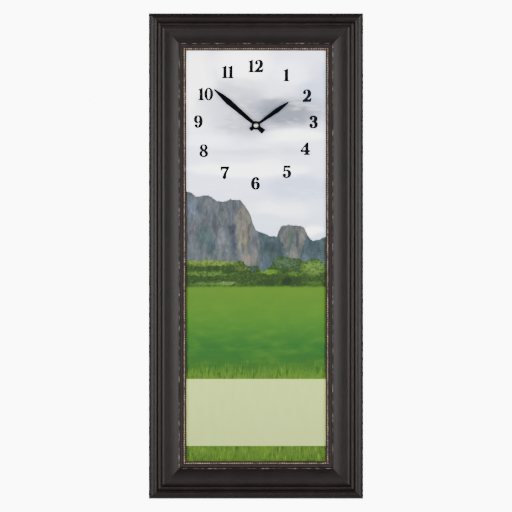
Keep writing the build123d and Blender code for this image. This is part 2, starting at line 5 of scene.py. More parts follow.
import bmesh
import bpy
from bpy.props import FloatProperty, FloatVectorProperty, IntProperty, PointerProperty
from bpy.types import Operator, Panel, PropertyGroup
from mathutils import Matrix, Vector


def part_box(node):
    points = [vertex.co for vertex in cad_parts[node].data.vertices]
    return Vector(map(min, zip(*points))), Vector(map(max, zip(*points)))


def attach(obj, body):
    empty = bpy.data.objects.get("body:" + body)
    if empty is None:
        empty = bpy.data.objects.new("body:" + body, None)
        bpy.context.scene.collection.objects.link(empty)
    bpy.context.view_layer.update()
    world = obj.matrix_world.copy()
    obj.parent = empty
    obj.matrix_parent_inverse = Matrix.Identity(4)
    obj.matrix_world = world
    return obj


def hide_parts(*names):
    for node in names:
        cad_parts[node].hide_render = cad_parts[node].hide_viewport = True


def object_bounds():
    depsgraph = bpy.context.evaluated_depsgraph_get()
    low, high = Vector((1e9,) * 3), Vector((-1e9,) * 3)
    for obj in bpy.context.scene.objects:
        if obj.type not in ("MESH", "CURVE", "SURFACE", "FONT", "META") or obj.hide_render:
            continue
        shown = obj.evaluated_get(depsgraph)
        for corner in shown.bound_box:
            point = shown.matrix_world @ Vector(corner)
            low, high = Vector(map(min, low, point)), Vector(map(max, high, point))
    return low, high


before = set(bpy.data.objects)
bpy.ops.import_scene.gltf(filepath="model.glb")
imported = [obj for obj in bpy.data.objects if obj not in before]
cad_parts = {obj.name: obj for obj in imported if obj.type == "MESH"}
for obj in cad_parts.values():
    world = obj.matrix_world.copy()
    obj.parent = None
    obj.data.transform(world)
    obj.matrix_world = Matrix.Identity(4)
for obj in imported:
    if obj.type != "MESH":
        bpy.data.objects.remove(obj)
CAD_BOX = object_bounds()

bl_info = {
    "name": "Framed wall clock",
    "version": (1, 0, 0),
    "blender": (4, 5, 0),
    "location": "3D View > Sidebar > Clock",
    "description": "Builds the mouldings, print, numerals and finishes of a framed wall clock",
    "category": "Object",
}

MM = 0.001
TOP = CAD_BOX[1].z
BOTTOM = CAD_BOX[0].z
SIDE = CAD_BOX[1].x
MIDDLE_Z = (TOP + BOTTOM) / 2
FRAME_BACK = -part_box("rail_top")[1].y
LIP_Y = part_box("beads_top")[1].y
PRINT_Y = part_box("printed_face")[0].y
NUT_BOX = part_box("cap_nut")
NUT_HOLE_R = 1.45 * MM
NUT_HOLE_DEPTH = 2.2 * MM
DIAL_Z = (NUT_BOX[0].z + NUT_BOX[1].z) / 2
MOULD_W = 63.5 * MM
SIGHT_TOP = TOP - MOULD_W
SIGHT_HALF = SIDE - MOULD_W
BEAD_INSET = 3.3 * MM
BEAD_NECK = 0.6 * MM
BEADS_ACROSS = 64
BEADS_DOWN = 182


def srgb(red, green, blue):
    """Linear colour, with full alpha, from display values of 0 to 255."""
    linear = [((c / 255 + 0.055) / 1.055) ** 2.4 if c > 10 else c / 255 / 12.92 for c in (red, green, blue)]
    return (*linear, 1.0)


STUDIO_LEVEL = 3.25
VIVID = 1.12


def seen(red, green, blue):
    """Base colour that looks like a display colour under the studio lights and the soft view curve."""
    lit = [0.72 * c / (1 - 0.97 * c) / STUDIO_LEVEL for c in srgb(red, green, blue)[:3]]
    grey = 0.3 * lit[0] + 0.6 * lit[1] + 0.1 * lit[2]
    return (*(min(max(grey + (c - grey) * VIVID, 0.002), 0.96) for c in lit), 1.0)


# ---------------------------------------------------------------- sizes and colours a user would change
def colour_property(title, use, *display):
    return FloatVectorProperty(name=title, description=use, subtype="COLOR", size=4, min=0, max=1,
                               default=srgb(*display))


class ClockSizes(PropertyGroup):
    bead_radius: FloatProperty(
        name="Bead radius", description="Radius of one bead", default=1.42 * MM, unit="LENGTH")
    bead_spread: FloatProperty(
        name="Bead spread", description="How far bead sizes differ", default=0.04, subtype="FACTOR")
    numeral_height: FloatProperty(
        name="Numeral height", description="Height of a dial numeral", default=20.3 * MM, unit="LENGTH")
    ink_height: FloatProperty(
        name="Ink height", description="Thickness of the numeral ink", default=0.04 * MM, unit="LENGTH")
    rub: FloatProperty(
        name="Rub-through", description="Share of the inner edge worn bright", default=0.52, subtype="FACTOR")
    moulding_steps: IntProperty(
        name="Moulding steps", description="Stations along one side of the frame", default=24)


class ClockColours(PropertyGroup):
    lacquer: colour_property("Lacquer", "Dark finish of the moulding", 11, 7, 7)
    rubbed: colour_property("Rubbed edge", "Metal leaf that shows where the finish is worn", 112, 112, 74)
    lip: colour_property("Lip", "Bronze brown finish beside the beads", 26, 18, 17)
    # Colour of the painted highlight on the beads' tops.
    bead: colour_property("Bead", "High points of the beads", 150, 130, 106)
    ink: colour_property("Ink", "Numerals", 5, 5, 6)
    hand: colour_property("Hands", "Paint of the hands", 2, 2, 3)
    nut: colour_property("Cap nut", "Domed nut on the arbor", 128, 134, 120)
    jacket: colour_property("Battery jacket", "Sleeve of the cell", 38, 84, 122)


# ---------------------------------------------------------------- node helper
class Graph:
    """Adds and joins nodes in one tree."""

    def __init__(self, tree):
        self.tree = tree

    def add(self, kind, *inputs, out=0, **settings):
        node = self.tree.nodes.new(kind)
        for key, value in settings.items():
            setattr(node, key, value)
        for key, value in inputs:
            self.put(node.inputs[key], value)
        return node.outputs[out]

    def put(self, socket, value):
        if isinstance(value, bpy.types.NodeSocket):
            self.tree.links.new(value, socket)
        else:
            socket.default_value = value

    def math(self, operation, a, b=0.0, clamp=False):
        return self.add("ShaderNodeMath", (0, a), (1, b), operation=operation, use_clamp=clamp)

    def plus(self, a, b, clamp=False):
        return self.math("ADD", a, b, clamp)

    def minus(self, a, b, clamp=False):
        return self.math("SUBTRACT", a, b, clamp)

    def times(self, a, b, clamp=False):
        return self.math("MULTIPLY", a, b, clamp)

    def over(self, a, b, clamp=False):
        return self.math("DIVIDE", a, b, clamp)

    def step(self, value, low, high):
        """Smooth rise from 0 at low to 1 at high."""
        return self.add("ShaderNodeMapRange", ("Value", value), ("From Min", low), ("From Max", high),
                        interpolation_type="SMOOTHSTEP")

    def mix(self, factor, a, b, blend="MIX"):
        node = self.tree.nodes.new("ShaderNodeMix")
        node.data_type = "RGBA"
        node.blend_type = blend
        for key, value in ((0, factor), (6, a), (7, b)):
            self.put(node.inputs[key], value)
        return node.outputs[2]

    def noise(self, vector, scale, detail=3.0, rough=0.5, distortion=0.0):
        return self.add("ShaderNodeTexNoise", ("Vector", vector), ("Scale", scale), ("Detail", detail),
                        ("Roughness", rough), ("Distortion", distortion))

    def cells(self, vector, scale):
        return self.add("ShaderNodeTexVoronoi", ("Vector", vector), ("Scale", scale), out="Distance")

    def xyz(self, x, y, z):
        return self.add("ShaderNodeCombineXYZ", (0, x), (1, y), (2, z))

    def split(self, vector):
        node = self.tree.nodes.new("ShaderNodeSeparateXYZ")
        self.put(node.inputs[0], vector)
        return node.outputs

    def stretch(self, vector, scale):
        return self.add("ShaderNodeMapping", ("Vector", vector), ("Scale", scale))

    def curve(self, value, points):
        """Straight runs between the given points."""
        node = self.tree.nodes.new("ShaderNodeFloatCurve")
        line = node.mapping.curves[0]
        while len(line.points) < len(points):
            line.points.new(0.5, 0.5)
        for point, place in zip(line.points, points):
            point.location = place
            point.handle_type = "VECTOR"
        node.mapping.update()
        self.put(node.inputs["Value"], value)
        return node.outputs[0]

    def ramp(self, factor, stops):
        node = self.tree.nodes.new("ShaderNodeValToRGB")
        band = node.color_ramp.elements
        while len(band) < len(stops):
            band.new(0.5)
        for element, (place, colour) in zip(band, stops):
            element.position = place
            element.color = colour
        self.put(node.inputs[0], factor)
        return node.outputs[0]

    def group(self, name, *inputs, out=0):
        node = self.tree.nodes.new("ShaderNodeGroup")
        node.node_tree = bpy.data.node_groups[name]
        for key, value in inputs:
            self.put(node.inputs[key], value)
        return node.outputs[out]

    def place(self):
        return self.add("ShaderNodeTexCoord", out="Object")


FLOAT = "NodeSocketFloat"
VECTOR = "NodeSocketVector"


def new_group(name, inputs, *outputs):
    """Empty shader group: an input with a number is a value, one with None a vector, every output a value.

    Gives its graph, its input sockets by title and its output node's sockets by title."""
    tree = bpy.data.node_groups.new(name, "ShaderNodeTree")
    for title, value in inputs.items():
        socket = tree.interface.new_socket(
            title, in_out="INPUT", socket_type=VECTOR if value is None else FLOAT)
        if value is not None:
            socket.default_value = value
    for title in outputs:
        tree.interface.new_socket(title, in_out="OUTPUT", socket_type=FLOAT)
    return Graph(tree), tree.nodes.new("NodeGroupInput").outputs, tree.nodes.new("NodeGroupOutput").inputs


def make_shared_groups():
    """Grain, scuffs, a thin broken light line (worn finish, and a painted highlight) and wood figure, used by
    several finishes.
    """
    g, at, out = new_group("fine_grain", {"Vector": None, "Scale": 900.0}, "Tone", "Height")
    fine = g.noise(at["Vector"], at["Scale"], 4.0, 0.6)
    broad = g.noise(at["Vector"], g.times(at["Scale"], 0.04), 2.0)
    g.put(out["Tone"], g.plus(g.times(fine, 0.35), g.times(broad, 0.65)))
    g.put(out["Height"], fine)

    g, at, out = new_group("scuffs", {"Vector": None, "Scale": 60.0, "Amount": 0.3}, "Mask")
    line = g.noise(g.stretch(at["Vector"], (1.0, 1.0, 0.12)), at["Scale"], 5.0, 0.65, 0.4)
    patch = g.noise(at["Vector"], g.times(at["Scale"], 0.2), 2.0)
    edge = g.minus(0.78, g.times(at["Amount"], 0.3))
    thin = g.times(g.minus(line, edge), 9.0, clamp=True)
    g.put(out["Mask"], g.times(thin, g.step(patch, 0.42, 0.62)))

    # A thin broken light line: the worn finish along the inner edge, and a painted highlight along the
    # fillet's edge.
    g, at, out = new_group(
        "wear_and_highlight_line", {"Across": 0.0, "Along": None, "Centre": 0.0, "Width": 0.001, "Amount": 0.5}, "Mask")
    wander = g.times(g.minus(g.noise(at["Along"], 90.0, 3.0), 0.5), 0.0008)
    away = g.math("ABSOLUTE", g.minus(g.plus(at["Across"], wander), at["Centre"]))
    ridge = g.minus(1.0, g.over(away, at["Width"]), clamp=True)
    broken = g.noise(at["Along"], 95.0, 6.0, 0.75)
    level = g.minus(0.72, g.times(at["Amount"], 0.42))
    wear_and_highlight = g.times(g.minus(broken, level), 5.0, clamp=True)
    g.put(out["Mask"], g.times(ridge, wear_and_highlight))

    g, at, out = new_group("wood_figure", {"Vector": None, "Scale": 60.0}, "Tone", "Height")
    wave = g.noise(at["Vector"], at["Scale"], 6.0, 0.6, 0.8)
    pores = g.noise(at["Vector"], g.times(at["Scale"], 9.0), 3.0, 0.7)
    g.put(out["Tone"], g.plus(g.times(wave, 0.7), g.times(pores, 0.3)))
    g.put(out["Height"], pores)


def make_patch_group():
    """Soft oval patch on the printed sheet, in mm across and down."""
    titles = ("Across", "Down", "Centre across", "Centre down", "Half width", "Half height", "Strength")
    g, at, out = new_group("soft_patch", dict.fromkeys(titles, 1.0), "Mask")
    dx = g.over(g.minus(at["Across"], at["Centre across"]), at["Half width"])
    dy = g.over(g.minus(at["Down"], at["Centre down"]), at["Half height"])
    far = g.math("SQRT", g.plus(g.times(dx, dx), g.times(dy, dy)))
    g.put(out["Mask"], g.times(g.step(far, 1.0, 0.35), at["Strength"]))


def finish_material(name, build, **fixed):
    """A principled material whose changing inputs come from build, and whose constants are set here."""
    material = bpy.data.materials.new(name)
    material.use_nodes = True
    tree = material.node_tree
    shader = tree.nodes["Principled BSDF"]
    for key, value in fixed.items():
        shader.inputs[key.replace("_", " ")].default_value = value
    g = Graph(tree)
    made = build(g)
    if "Height" in made:
        height, depth, strength = made.pop("Height")
        made["Normal"] = g.add(
            "ShaderNodeBump", ("Strength", strength), ("Distance", depth), ("Height", height))
    for key, value in made.items():
        g.put(shader.inputs[key], value)
    return material


def varied(g, colour, spread=0.25, scale=900.0, vector=None):
    """Colour with a fine uneven tone, and the grain's height."""
    vector = vector or g.place()
    tone = g.group("fine_grain", ("Vector", vector), ("Scale", scale), out="Tone")
    height = g.group("fine_grain", ("Vector", vector), ("Scale", scale), out="Height")
    dark = tuple(c * (1 - spread) for c in colour[:3]) + (1.0,)
    light = tuple(min(1.0, c * (1 + spread)) for c in colour[:3]) + (1.0,)
    return g.mix(g.step(tone, 0.35, 0.65), dark, light), tone, height


# ---------------------------------------------------------------- finishes of the frame
# Places on the moulding, from its outer edge: the fillet, the ridge inside the slope, the lip's start, and
# the stretch over which the grain's relief grows to full, because handling keeps the outer edge smooth
FILLET_AT = 18.8 * MM
INNER_EDGE_AT = 51.5 * MM
LIP_AT = 53.1 * MM
RELIEF_RISE = (3.0 * MM, 7.0 * MM)


def lacquer_finish(colours, sizes):
    def build(g):
        uv = g.add("ShaderNodeUVMap", uv_map="moulding")
        along, across, _ = g.split(uv)
        where = g.xyz(along, g.times(across, 2.0), 0.0)
        base, tone, height = varied(g, tuple(colours.lacquer), 0.16, 700.0)
        streak = g.group("wood_figure", ("Vector", g.xyz(g.times(along, 0.08), across, 0.0)),
                         ("Scale", 420.0), out="Tone")
        base = g.mix(g.step(streak, 0.52, 0.72), base, srgb(15, 10, 10))
        rub = g.group("wear_and_highlight_line", ("Across", across), ("Along", where), ("Centre", INNER_EDGE_AT),
                      ("Width", 0.8 * MM), ("Amount", sizes.rub))
        # Faint broken light line along the fillet's edge, in the rubbed leaf colour: a painted highlight.
        fillet_highlight = g.group("wear_and_highlight_line", ("Across", across), ("Along", g.xyz(along, 3.0, 0.0)),
                      ("Centre", FILLET_AT), ("Width", 0.7 * MM), ("Amount", 0.45))
        lip = g.step(across, LIP_AT - 0.5 * MM, LIP_AT + 0.5 * MM)
        lip_tone = g.mix(g.noise(where, 160.0, 4.0), srgb(14, 10, 9), tuple(colours.lip))
        base = g.mix(lip, base, lip_tone)
        # Paints in the fillet's highlight.
        base = g.mix(g.times(fillet_highlight, 0.22), base, tuple(colours.rubbed))
        yellowed = g.step(g.noise(where, 11.0, 2.0), 0.58, 0.66)
        leaf = g.mix(yellowed, srgb(134, 128, 122), tuple(colours.rubbed))
        base = g.mix(g.times(rub, 0.85), base, leaf)
        scuff = g.group("scuffs", ("Vector", g.place()), ("Scale", 80.0), ("Amount", 0.2))
        rough = g.plus(0.3, g.times(tone, 0.08))
        rough = g.plus(rough, g.times(scuff, 0.15))
        calm = g.plus(0.12, g.times(g.step(across, *RELIEF_RISE), 0.88))
        relief = g.times(g.plus(height, g.times(streak, 1.5)), calm)
        return {"Base Color": base, "Roughness": rough, "Metallic": g.times(rub, 0.4),
                "Height": (relief, 0.00004, 0.35)}
    return finish_material("dark_lacquer", build, Specular_IOR_Level=0.065)


def raw_wood_finish():
    def build(g):
        place = g.place()
        long_way = g.stretch(place, (1.0, 1.0, 0.14))
        tone = g.group("wood_figure", ("Vector", long_way), ("Scale", 90.0), out="Tone")
        pores = g.group("wood_figure", ("Vector", long_way), ("Scale", 90.0), out="Height")
        colour = g.ramp(tone, [
            (0.3, srgb(134, 103, 72)), (0.5, srgb(176, 143, 104)), (0.7, srgb(196, 166, 124))])
        return {"Base Color": colour, "Roughness": g.plus(0.6, g.times(pores, 0.2)),
                "Height": (pores, 0.0001, 0.5)}
    return finish_material("raw_wood_back", build)


def bead_finish(colours):
    def build(g):
        place = g.place()
        _, depth, _ = g.split(place)
        # Pale tan on the beads' front-most tops, broken by noise: a painted highlight.
        high = g.step(g.minus(LIP_Y, depth), 0.85 * MM, 1.4 * MM)
        low, tone, height = varied(g, srgb(10, 7, 6), 0.3, 1500.0, place)
        wear_and_highlight = g.times(high, g.step(g.noise(place, 130.0, 4.0, 0.6), 0.3, 0.6))
        colour = g.mix(wear_and_highlight, low, tuple(colours.bead))
        return {"Base Color": colour, "Roughness": g.plus(0.34, g.times(tone, 0.2)),
                "Metallic": g.times(wear_and_highlight, 0.2), "Height": (height, 0.00003, 0.3)}
    return finish_material("bronze_bead", build, Specular_IOR_Level=0.3)


# ---------------------------------------------------------------- printed landscape
# Patches of the picture, in mm: centre across and below the sight edge, half width and half height,
# then the display colour and the strength
SKY_PATCHES = [
    ((-24, 20), (70, 44), (254, 254, 255), 0.95),
    ((-104, 60), (40, 100), (241, 243, 246), 0.85),
    ((-34, 68), (62, 30), (202, 202, 208), 0.9),
    ((104, 60), (50, 56), (203, 208, 220), 0.95),
    ((56, 34), (50, 30), (230, 231, 236), 0.75),
    ((24, 102), (128, 44), (182, 185, 194), 0.95),
    ((50, 102), (84, 32), (144, 149, 160), 0.9),
    ((-24, 124), (58, 28), (178, 180, 188), 0.85),
    ((-74, 98), (48, 36), (206, 207, 214), 0.8),
    ((74, 144), (76, 16), (243, 243, 246), 0.9),
    ((-84, 150), (60, 18), (232, 232, 236), 0.8),
    ((10, 170), (110, 11), (208, 208, 215), 0.65),
    ((-20, 200), (140, 18), (238, 238, 240), 0.85),
    ((70, 232), (92, 30), (200, 206, 219), 0.9),
    ((34, 268), (80, 14), (228, 230, 231), 0.75),
    ((96, 300), (28, 16), (240, 242, 242), 0.9),
]
ROCK_PATCHES = [
    ((-110, 268), (14, 28), (132, 142, 154), 0.8),
    ((-94, 266), (9, 18), (98, 104, 113), 0.9),
    ((-80, 262), (9, 16), (130, 133, 138), 0.7),
    ((-86, 314), (22, 26), (98, 115, 116), 0.9),
    ((-106, 302), (9, 16), (128, 128, 132), 0.7),
    ((-70, 287), (5, 20), (96, 97, 106), 0.85),
    ((-57, 272), (14, 20), (112, 118, 120), 0.8),
    ((-58, 318), (9, 28), (142, 142, 150), 0.8),
    ((-76, 334), (10, 20), (84, 102, 110), 0.9),
    ((-47, 334), (6, 16), (134, 138, 146), 0.7),
    ((-20, 292), (20, 46), (140, 138, 130), 0.9),
    ((-39, 268), (2.5, 34), (102, 104, 112), 0.9),
    ((-40, 299), (9, 13), (82, 85, 98), 0.95),
    ((-38, 328), (6, 26), (86, 94, 108), 0.9),
    ((-27, 322), (5, 30), (150, 148, 136), 0.8),
    ((-18, 324), (4.5, 22), (152, 147, 124), 0.7),
    ((-12, 310), (2, 22), (116, 108, 98), 0.7),
    ((-14, 352), (16, 16), (160, 152, 142), 0.8),
    ((-2, 345), (6, 22), (150, 146, 146), 0.7),
]
PEAK_PATCHES = [
    ((59, 318), (10, 26), (110, 122, 118), 0.9),
    ((70, 316), (3.5, 20), (92, 97, 106), 0.9),
    ((80, 314), (7, 24), (140, 137, 133), 0.8),
    ((43, 324), (6, 18), (132, 129, 128), 0.8),
    ((46, 303), (5, 10), (104, 108, 108), 0.8),
    ((62, 348), (9, 16), (148, 146, 142), 0.9),
]
HILL_PATCHES = [
    ((24, 330), (16, 12), (70, 86, 90), 0.7),
    ((40, 342), (9, 12), (76, 84, 96), 0.8),
    ((14, 358), (15, 14), (100, 114, 132), 0.85),
    ((104, 336), (12, 12), (84, 100, 110), 0.7),
    ((84, 350), (12, 8), (106, 120, 132), 0.8),
    ((112, 356), (12, 14), (104, 120, 124), 0.7),
]
BUSH_PATCHES = [
    ((-80, 376), (60, 5), (106, 136, 72), 0.7),
    ((-76, 368), (60, 5), (52, 80, 38), 0.8),
    ((-76, 357), (62, 8), (128, 148, 78), 0.95),
    ((-86, 385), (44, 6), (50, 80, 36), 0.75),
    ((-70, 393), (64, 4), (104, 134, 74), 0.7),
    ((-48, 372), (15, 6), (50, 80, 38), 0.85),
    ((-30, 385), (14, 7), (56, 88, 40), 0.7),
    ((-24, 366), (16, 7), (98, 116, 62), 0.8),
    ((-5, 368), (8, 8), (66, 88, 80), 0.85),
    ((-48, 392), (20, 4), (122, 142, 92), 0.8),
    ((50, 358), (28, 13), (88, 112, 88), 0.75),
    ((69, 364), (5, 11), (66, 86, 72), 0.7),
    ((98, 366), (28, 17), (122, 150, 84), 0.75),
    ((22, 373), (24, 5), (112, 146, 60), 0.85),
    ((66, 376), (20, 4), (104, 136, 60), 0.7),
    ((96, 392), (22, 5), (86, 118, 56), 0.6),
]
CLUMP_PATCHES = [
    ((22, 389), (17, 10), (42, 68, 22), 0.8),
    ((52, 389), (13, 11), (30, 48, 16), 0.85),
    ((68, 388), (9, 10), (40, 62, 24), 0.75),
    ((-46, 372), (12, 5), (46, 74, 34), 0.6),
]
# Lines of the picture in mm: place across, and depth below the sight edge
PRINT_HALF = 117.5
RIDGE = [
    (-PRINT_HALF, 236), (-108, 239), (-101, 246), (-86, 243), (-76, 245), (-65, 253.5), (-51, 253.5),
    (-43, 249.5), (-26, 251.5), (-17, 263), (-9, 276), (-5, 291), (0, 302), (13, 307), (24, 312), (35, 313),
    (37.5, 304), (42.5, 295), (52, 293), (76, 294.5), (82, 299), (90, 315), (96, 320), (106, 318),
    (PRINT_HALF, 313)]
BUSH_LINE = [
    (-PRINT_HALF, 353), (-60, 353), (-40, 356), (-30, 352), (-18, 360), (-12, 364), (4, 364), (12, 372),
    (26, 362), (30, 350), (44, 346), (60, 352), (74, 352), (84, 358), (94, 350), (106, 352),
    (PRINT_HALF, 362)]
FIELD_TOP = 398.0
BAND_TOP = 553.7
BAND_END = 666.3
DEPTH_SPAN = 700.0
FIELD_TONES = [
    (396, (98, 134, 56)), (425, (92, 131, 55)), (455, (82, 128, 54)), (500, (50, 106, 50)),
    (532, (60, 106, 46)), (550, (96, 130, 54)), (690, (90, 118, 48))]
PEAK_AT = 63
PEAK_RISE = (296.0, 362.0)
PEAK_HALF = (27.5, 5.0)


def outline_curve(g, unit_x, points):
    """Height of a given line over the width of the sheet, in mm below the sight edge."""
    pairs = [((x + PRINT_HALF) / (2 * PRINT_HALF), depth / DEPTH_SPAN) for x, depth in points]
    return g.times(g.curve(unit_x, pairs), DEPTH_SPAN)


def patched(g, colour, x, down, patches):
    """Lays soft coloured patches over a colour, one after another."""
    for centre, half, tint, strength in patches:
        mask = g.group("soft_patch", ("Across", x), ("Down", down), ("Centre across", centre[0]),
                       ("Centre down", centre[1]), ("Half width", half[0]), ("Half height", half[1]),
                       ("Strength", strength))
        colour = g.mix(mask, colour, seen(*tint))
    return colour


def wavered(g, value, vector, scale, reach, detail=5.0):
    """Moves a place on the sheet by up to half the reach, to break straight edges."""
    drift = g.minus(g.noise(vector, scale, detail, 0.6), 0.5)
    return g.plus(value, g.times(drift, reach))


def sky_colour(g, x, down, place):
    across = wavered(g, x, place, 16.0, 60.0, 2.0)
    height = wavered(g, down, g.stretch(place, (0.6, 1, 1.7)), 15.0, 34.0, 2.5)
    sky = g.mix(g.step(down, 150.0, 330.0), seen(222, 223, 228), seen(211, 215, 222))
    sky = patched(g, sky, across, height, SKY_PATCHES)
    wisp = g.noise(g.stretch(place, (0.5, 1, 1.6)), 34.0, 6.0, 0.6)
    return g.mix(g.times(g.step(wisp, 0.5, 0.75), 0.25), sky, seen(236, 236, 240))


def cliff_colour(g, x, down, place):
    across = wavered(g, x, place, 95.0, 9.0)
    height = wavered(g, down, place, 60.0, 26.0)
    streak = g.noise(g.stretch(place, (1.0, 1.0, 0.4)), 150.0, 7.0, 0.68, 0.5)
    rock = patched(g, seen(116, 122, 127), across, height, ROCK_PATCHES)
    peak = patched(g, seen(124, 125, 125), across, height, PEAK_PATCHES)
    side = g.times(g.minus(down, 300), 0.12)
    edge = g.math("ABSOLUTE", g.minus(wavered(g, across, place, 150.0, 16.0), PEAK_AT))
    half = g.add("ShaderNodeMapRange", ("Value", down), ("From Min", PEAK_RISE[0]),
                 ("From Max", PEAK_RISE[1]), ("To Min", PEAK_HALF[0]), ("To Max", PEAK_HALF[1]))
    rock = g.mix(g.step(g.minus(half, edge), -1.5, 1.5), rock, peak)
    hill = patched(g, seen(90, 106, 112), across, height, HILL_PATCHES)
    woods = g.noise(place, 330.0, 5.0, 0.7)
    hill = g.mix(g.times(g.step(woods, 0.5, 0.3), 0.45), hill, seen(62, 78, 80))
    shoulder = g.plus(across, g.times(side, -1.0))
    lower = g.times(g.step(shoulder, 1.0, 5.0), g.step(g.minus(half, edge), 1.5, -1.5))
    rock = g.mix(lower, rock, hill)
    shade = g.mix(g.step(streak, 0.3, 0.72), seen(60, 66, 72), seen(214, 214, 214))
    rock = g.mix(0.62, rock, shade, "OVERLAY")
    haze = g.times(g.step(down, 318.0, 356.0), g.times(g.noise(place, 80.0, 4.0), 0.3))
    return g.mix(haze, rock, seen(104, 120, 112))


def bush_colour(g, x, down, place):
    across = wavered(g, x, place, 120.0, 12.0)
    height = wavered(g, down, place, 150.0, 9.0)
    leaf = g.noise(place, 260.0, 7.0, 0.72, 0.3)
    clump = g.cells(g.xyz(g.times(across, 0.8), 0.0, g.times(height, 1.3)), 0.24)
    bushes = patched(g, seen(60, 85, 40), across, height, BUSH_PATCHES)
    shade = g.plus(g.times(g.step(clump, 0.4, 0.85), 0.6), g.step(leaf, 0.5, 0.38), clamp=True)
    bushes = g.mix(g.times(shade, 0.8), bushes, seen(32, 54, 22))
    bushes = g.mix(g.times(g.step(leaf, 0.55, 0.68), 0.45), bushes, seen(128, 156, 90))
    return patched(g, bushes, across, height, CLUMP_PATCHES)


def grass_colour(g, down, place):
    stops = [(depth / DEPTH_SPAN, seen(*tint)) for depth, tint in FIELD_TONES]
    field = g.ramp(g.over(down, DEPTH_SPAN), stops)
    patch = g.noise(g.stretch(place, (0.5, 1.0, 1.6)), 55.0, 5.0, 0.6)
    field = g.mix(g.times(g.step(patch, 0.4, 0.7), 0.3), field, seen(104, 142, 56))
    fine = g.noise(place, 520.0, 4.0, 0.7)
    field = g.mix(g.times(g.step(fine, 0.5, 0.78), 0.35), field, seen(64, 104, 44))
    blades = g.noise(g.stretch(place, (1.0, 1.0, 0.16)), 420.0, 5.0, 0.7, 0.5)
    tall = g.times(g.step(down, 515.0, 545.0), 0.9)
    field = g.mix(g.times(tall, g.step(blades, 0.5, 0.62)), field, seen(50, 80, 30))
    return g.mix(g.times(tall, g.step(blades, 0.42, 0.32)), field, seen(140, 160, 72))


def print_finish():
    def build(g):
        place = g.place()
        x_m, _, z_m = g.split(place)
        x = g.times(x_m, 1000.0)
        down = g.times(g.minus(SIGHT_TOP, z_m), 1000.0)
        unit_x = g.over(g.plus(x, PRINT_HALF), 2 * PRINT_HALF, clamp=True)
        jag = g.times(g.minus(g.noise(place, 170.0, 5.0, 0.7), 0.5), 9.0)
        tuft = g.times(g.minus(g.noise(place, 110.0, 5.0, 0.7), 0.5), 20.0)
        picture = sky_colour(g, x, down, place)
        over = g.minus(g.plus(down, jag), outline_curve(g, unit_x, RIDGE))
        picture = g.mix(g.step(over, -0.8, 0.8), picture, cliff_colour(g, x, down, place))
        under = g.minus(g.plus(down, tuft), outline_curve(g, unit_x, BUSH_LINE))
        picture = g.mix(g.step(under, -1.0, 1.0), picture, bush_colour(g, x, down, place))
        foot = g.plus(down, g.times(tuft, 0.3))
        grass = grass_colour(g, down, place)
        picture = g.mix(g.step(foot, FIELD_TOP - 2.5, FIELD_TOP + 2.5), picture, grass)
        band = g.times(g.step(down, BAND_TOP - 0.4, BAND_TOP + 0.4),
                       g.step(down, BAND_END + 0.4, BAND_END - 0.4))
        veil = g.mix(g.step(down, BAND_TOP, BAND_END), seen(196, 206, 154), seen(189, 198, 150))
        faint = g.noise(g.stretch(place, (1.0, 1.0, 0.3)), 90.0, 5.0, 0.65)
        cover = g.plus(0.74, g.times(faint, 0.2))
        picture = g.mix(g.times(band, cover), picture, veil)
        paper = g.group("fine_grain", ("Vector", place), ("Scale", 2600.0), out="Height")
        return {"Base Color": picture, "Roughness": g.plus(0.58, g.times(paper, 0.12)),
                "Height": (paper, 0.00001, 0.2)}
    return finish_material("printed_landscape", build, Specular_IOR_Level=0.08)


# ---------------------------------------------------------------- finishes of the fittings and the movement
def plain_finish(name, colour, spread, scale, rough, metal=0.0, depth=0.00002, amount=0.2, **fixed):
    """Painted, moulded or metal finish: uneven tone, fine grain and a few scuffs."""
    def build(g):
        place = g.place()
        base, tone, height = varied(g, colour, spread, scale, place)
        scuff = g.group("scuffs", ("Vector", place), ("Scale", 140.0), ("Amount", amount))
        light = tuple(min(1.0, c * 1.8 + 0.002) for c in colour[:3]) + (1.0,)
        base = g.mix(g.times(scuff, 0.35), base, light)
        wear = g.plus(rough - 0.06, g.plus(g.times(tone, 0.14), g.times(scuff, 0.12)))
        return {"Base Color": base, "Roughness": wear, "Height": (height, depth, 0.4)}
    return finish_material(name, build, Metallic=metal, **fixed)


def hardboard_finish():
    def build(g):
        place = g.place()
        fibre = g.noise(g.stretch(place, (1.0, 1.0, 0.5)), 700.0, 6.0, 0.75, 1.2)
        blot = g.noise(place, 14.0, 4.0)
        colour = g.ramp(fibre, [(0.3, srgb(88, 60, 38)), (0.5, srgb(122, 88, 58)), (0.7, srgb(150, 116, 80))])
        colour = g.mix(g.times(g.step(blot, 0.4, 0.7), 0.3), colour, srgb(98, 70, 46))
        return {"Base Color": colour, "Roughness": g.plus(0.62, g.times(fibre, 0.2)),
                "Height": (fibre, 0.00012, 0.6)}
    return finish_material("hardboard", build)


def winding_finish():
    def build(g):
        x, y, z = g.split(g.place())
        turn = g.math("SINE", g.times(x, 2 * pi / (0.16 * MM)))
        # Light and dark copper across each turn, lightest on its crest: painted highlight and shade.
        tone = g.step(turn, -1.0, 1.0)
        base = g.mix(tone, srgb(96, 42, 20), srgb(190, 98, 52))
        uneven = g.noise(g.xyz(x, y, z), 900.0, 3.0)
        base = g.mix(g.times(uneven, 0.4), base, srgb(140, 62, 30))
        return {"Base Color": base, "Roughness": g.plus(0.26, g.times(uneven, 0.12)),
                "Height": (turn, 0.00003, 0.8)}
    return finish_material("enamelled_wire", build, Metallic=0.85)


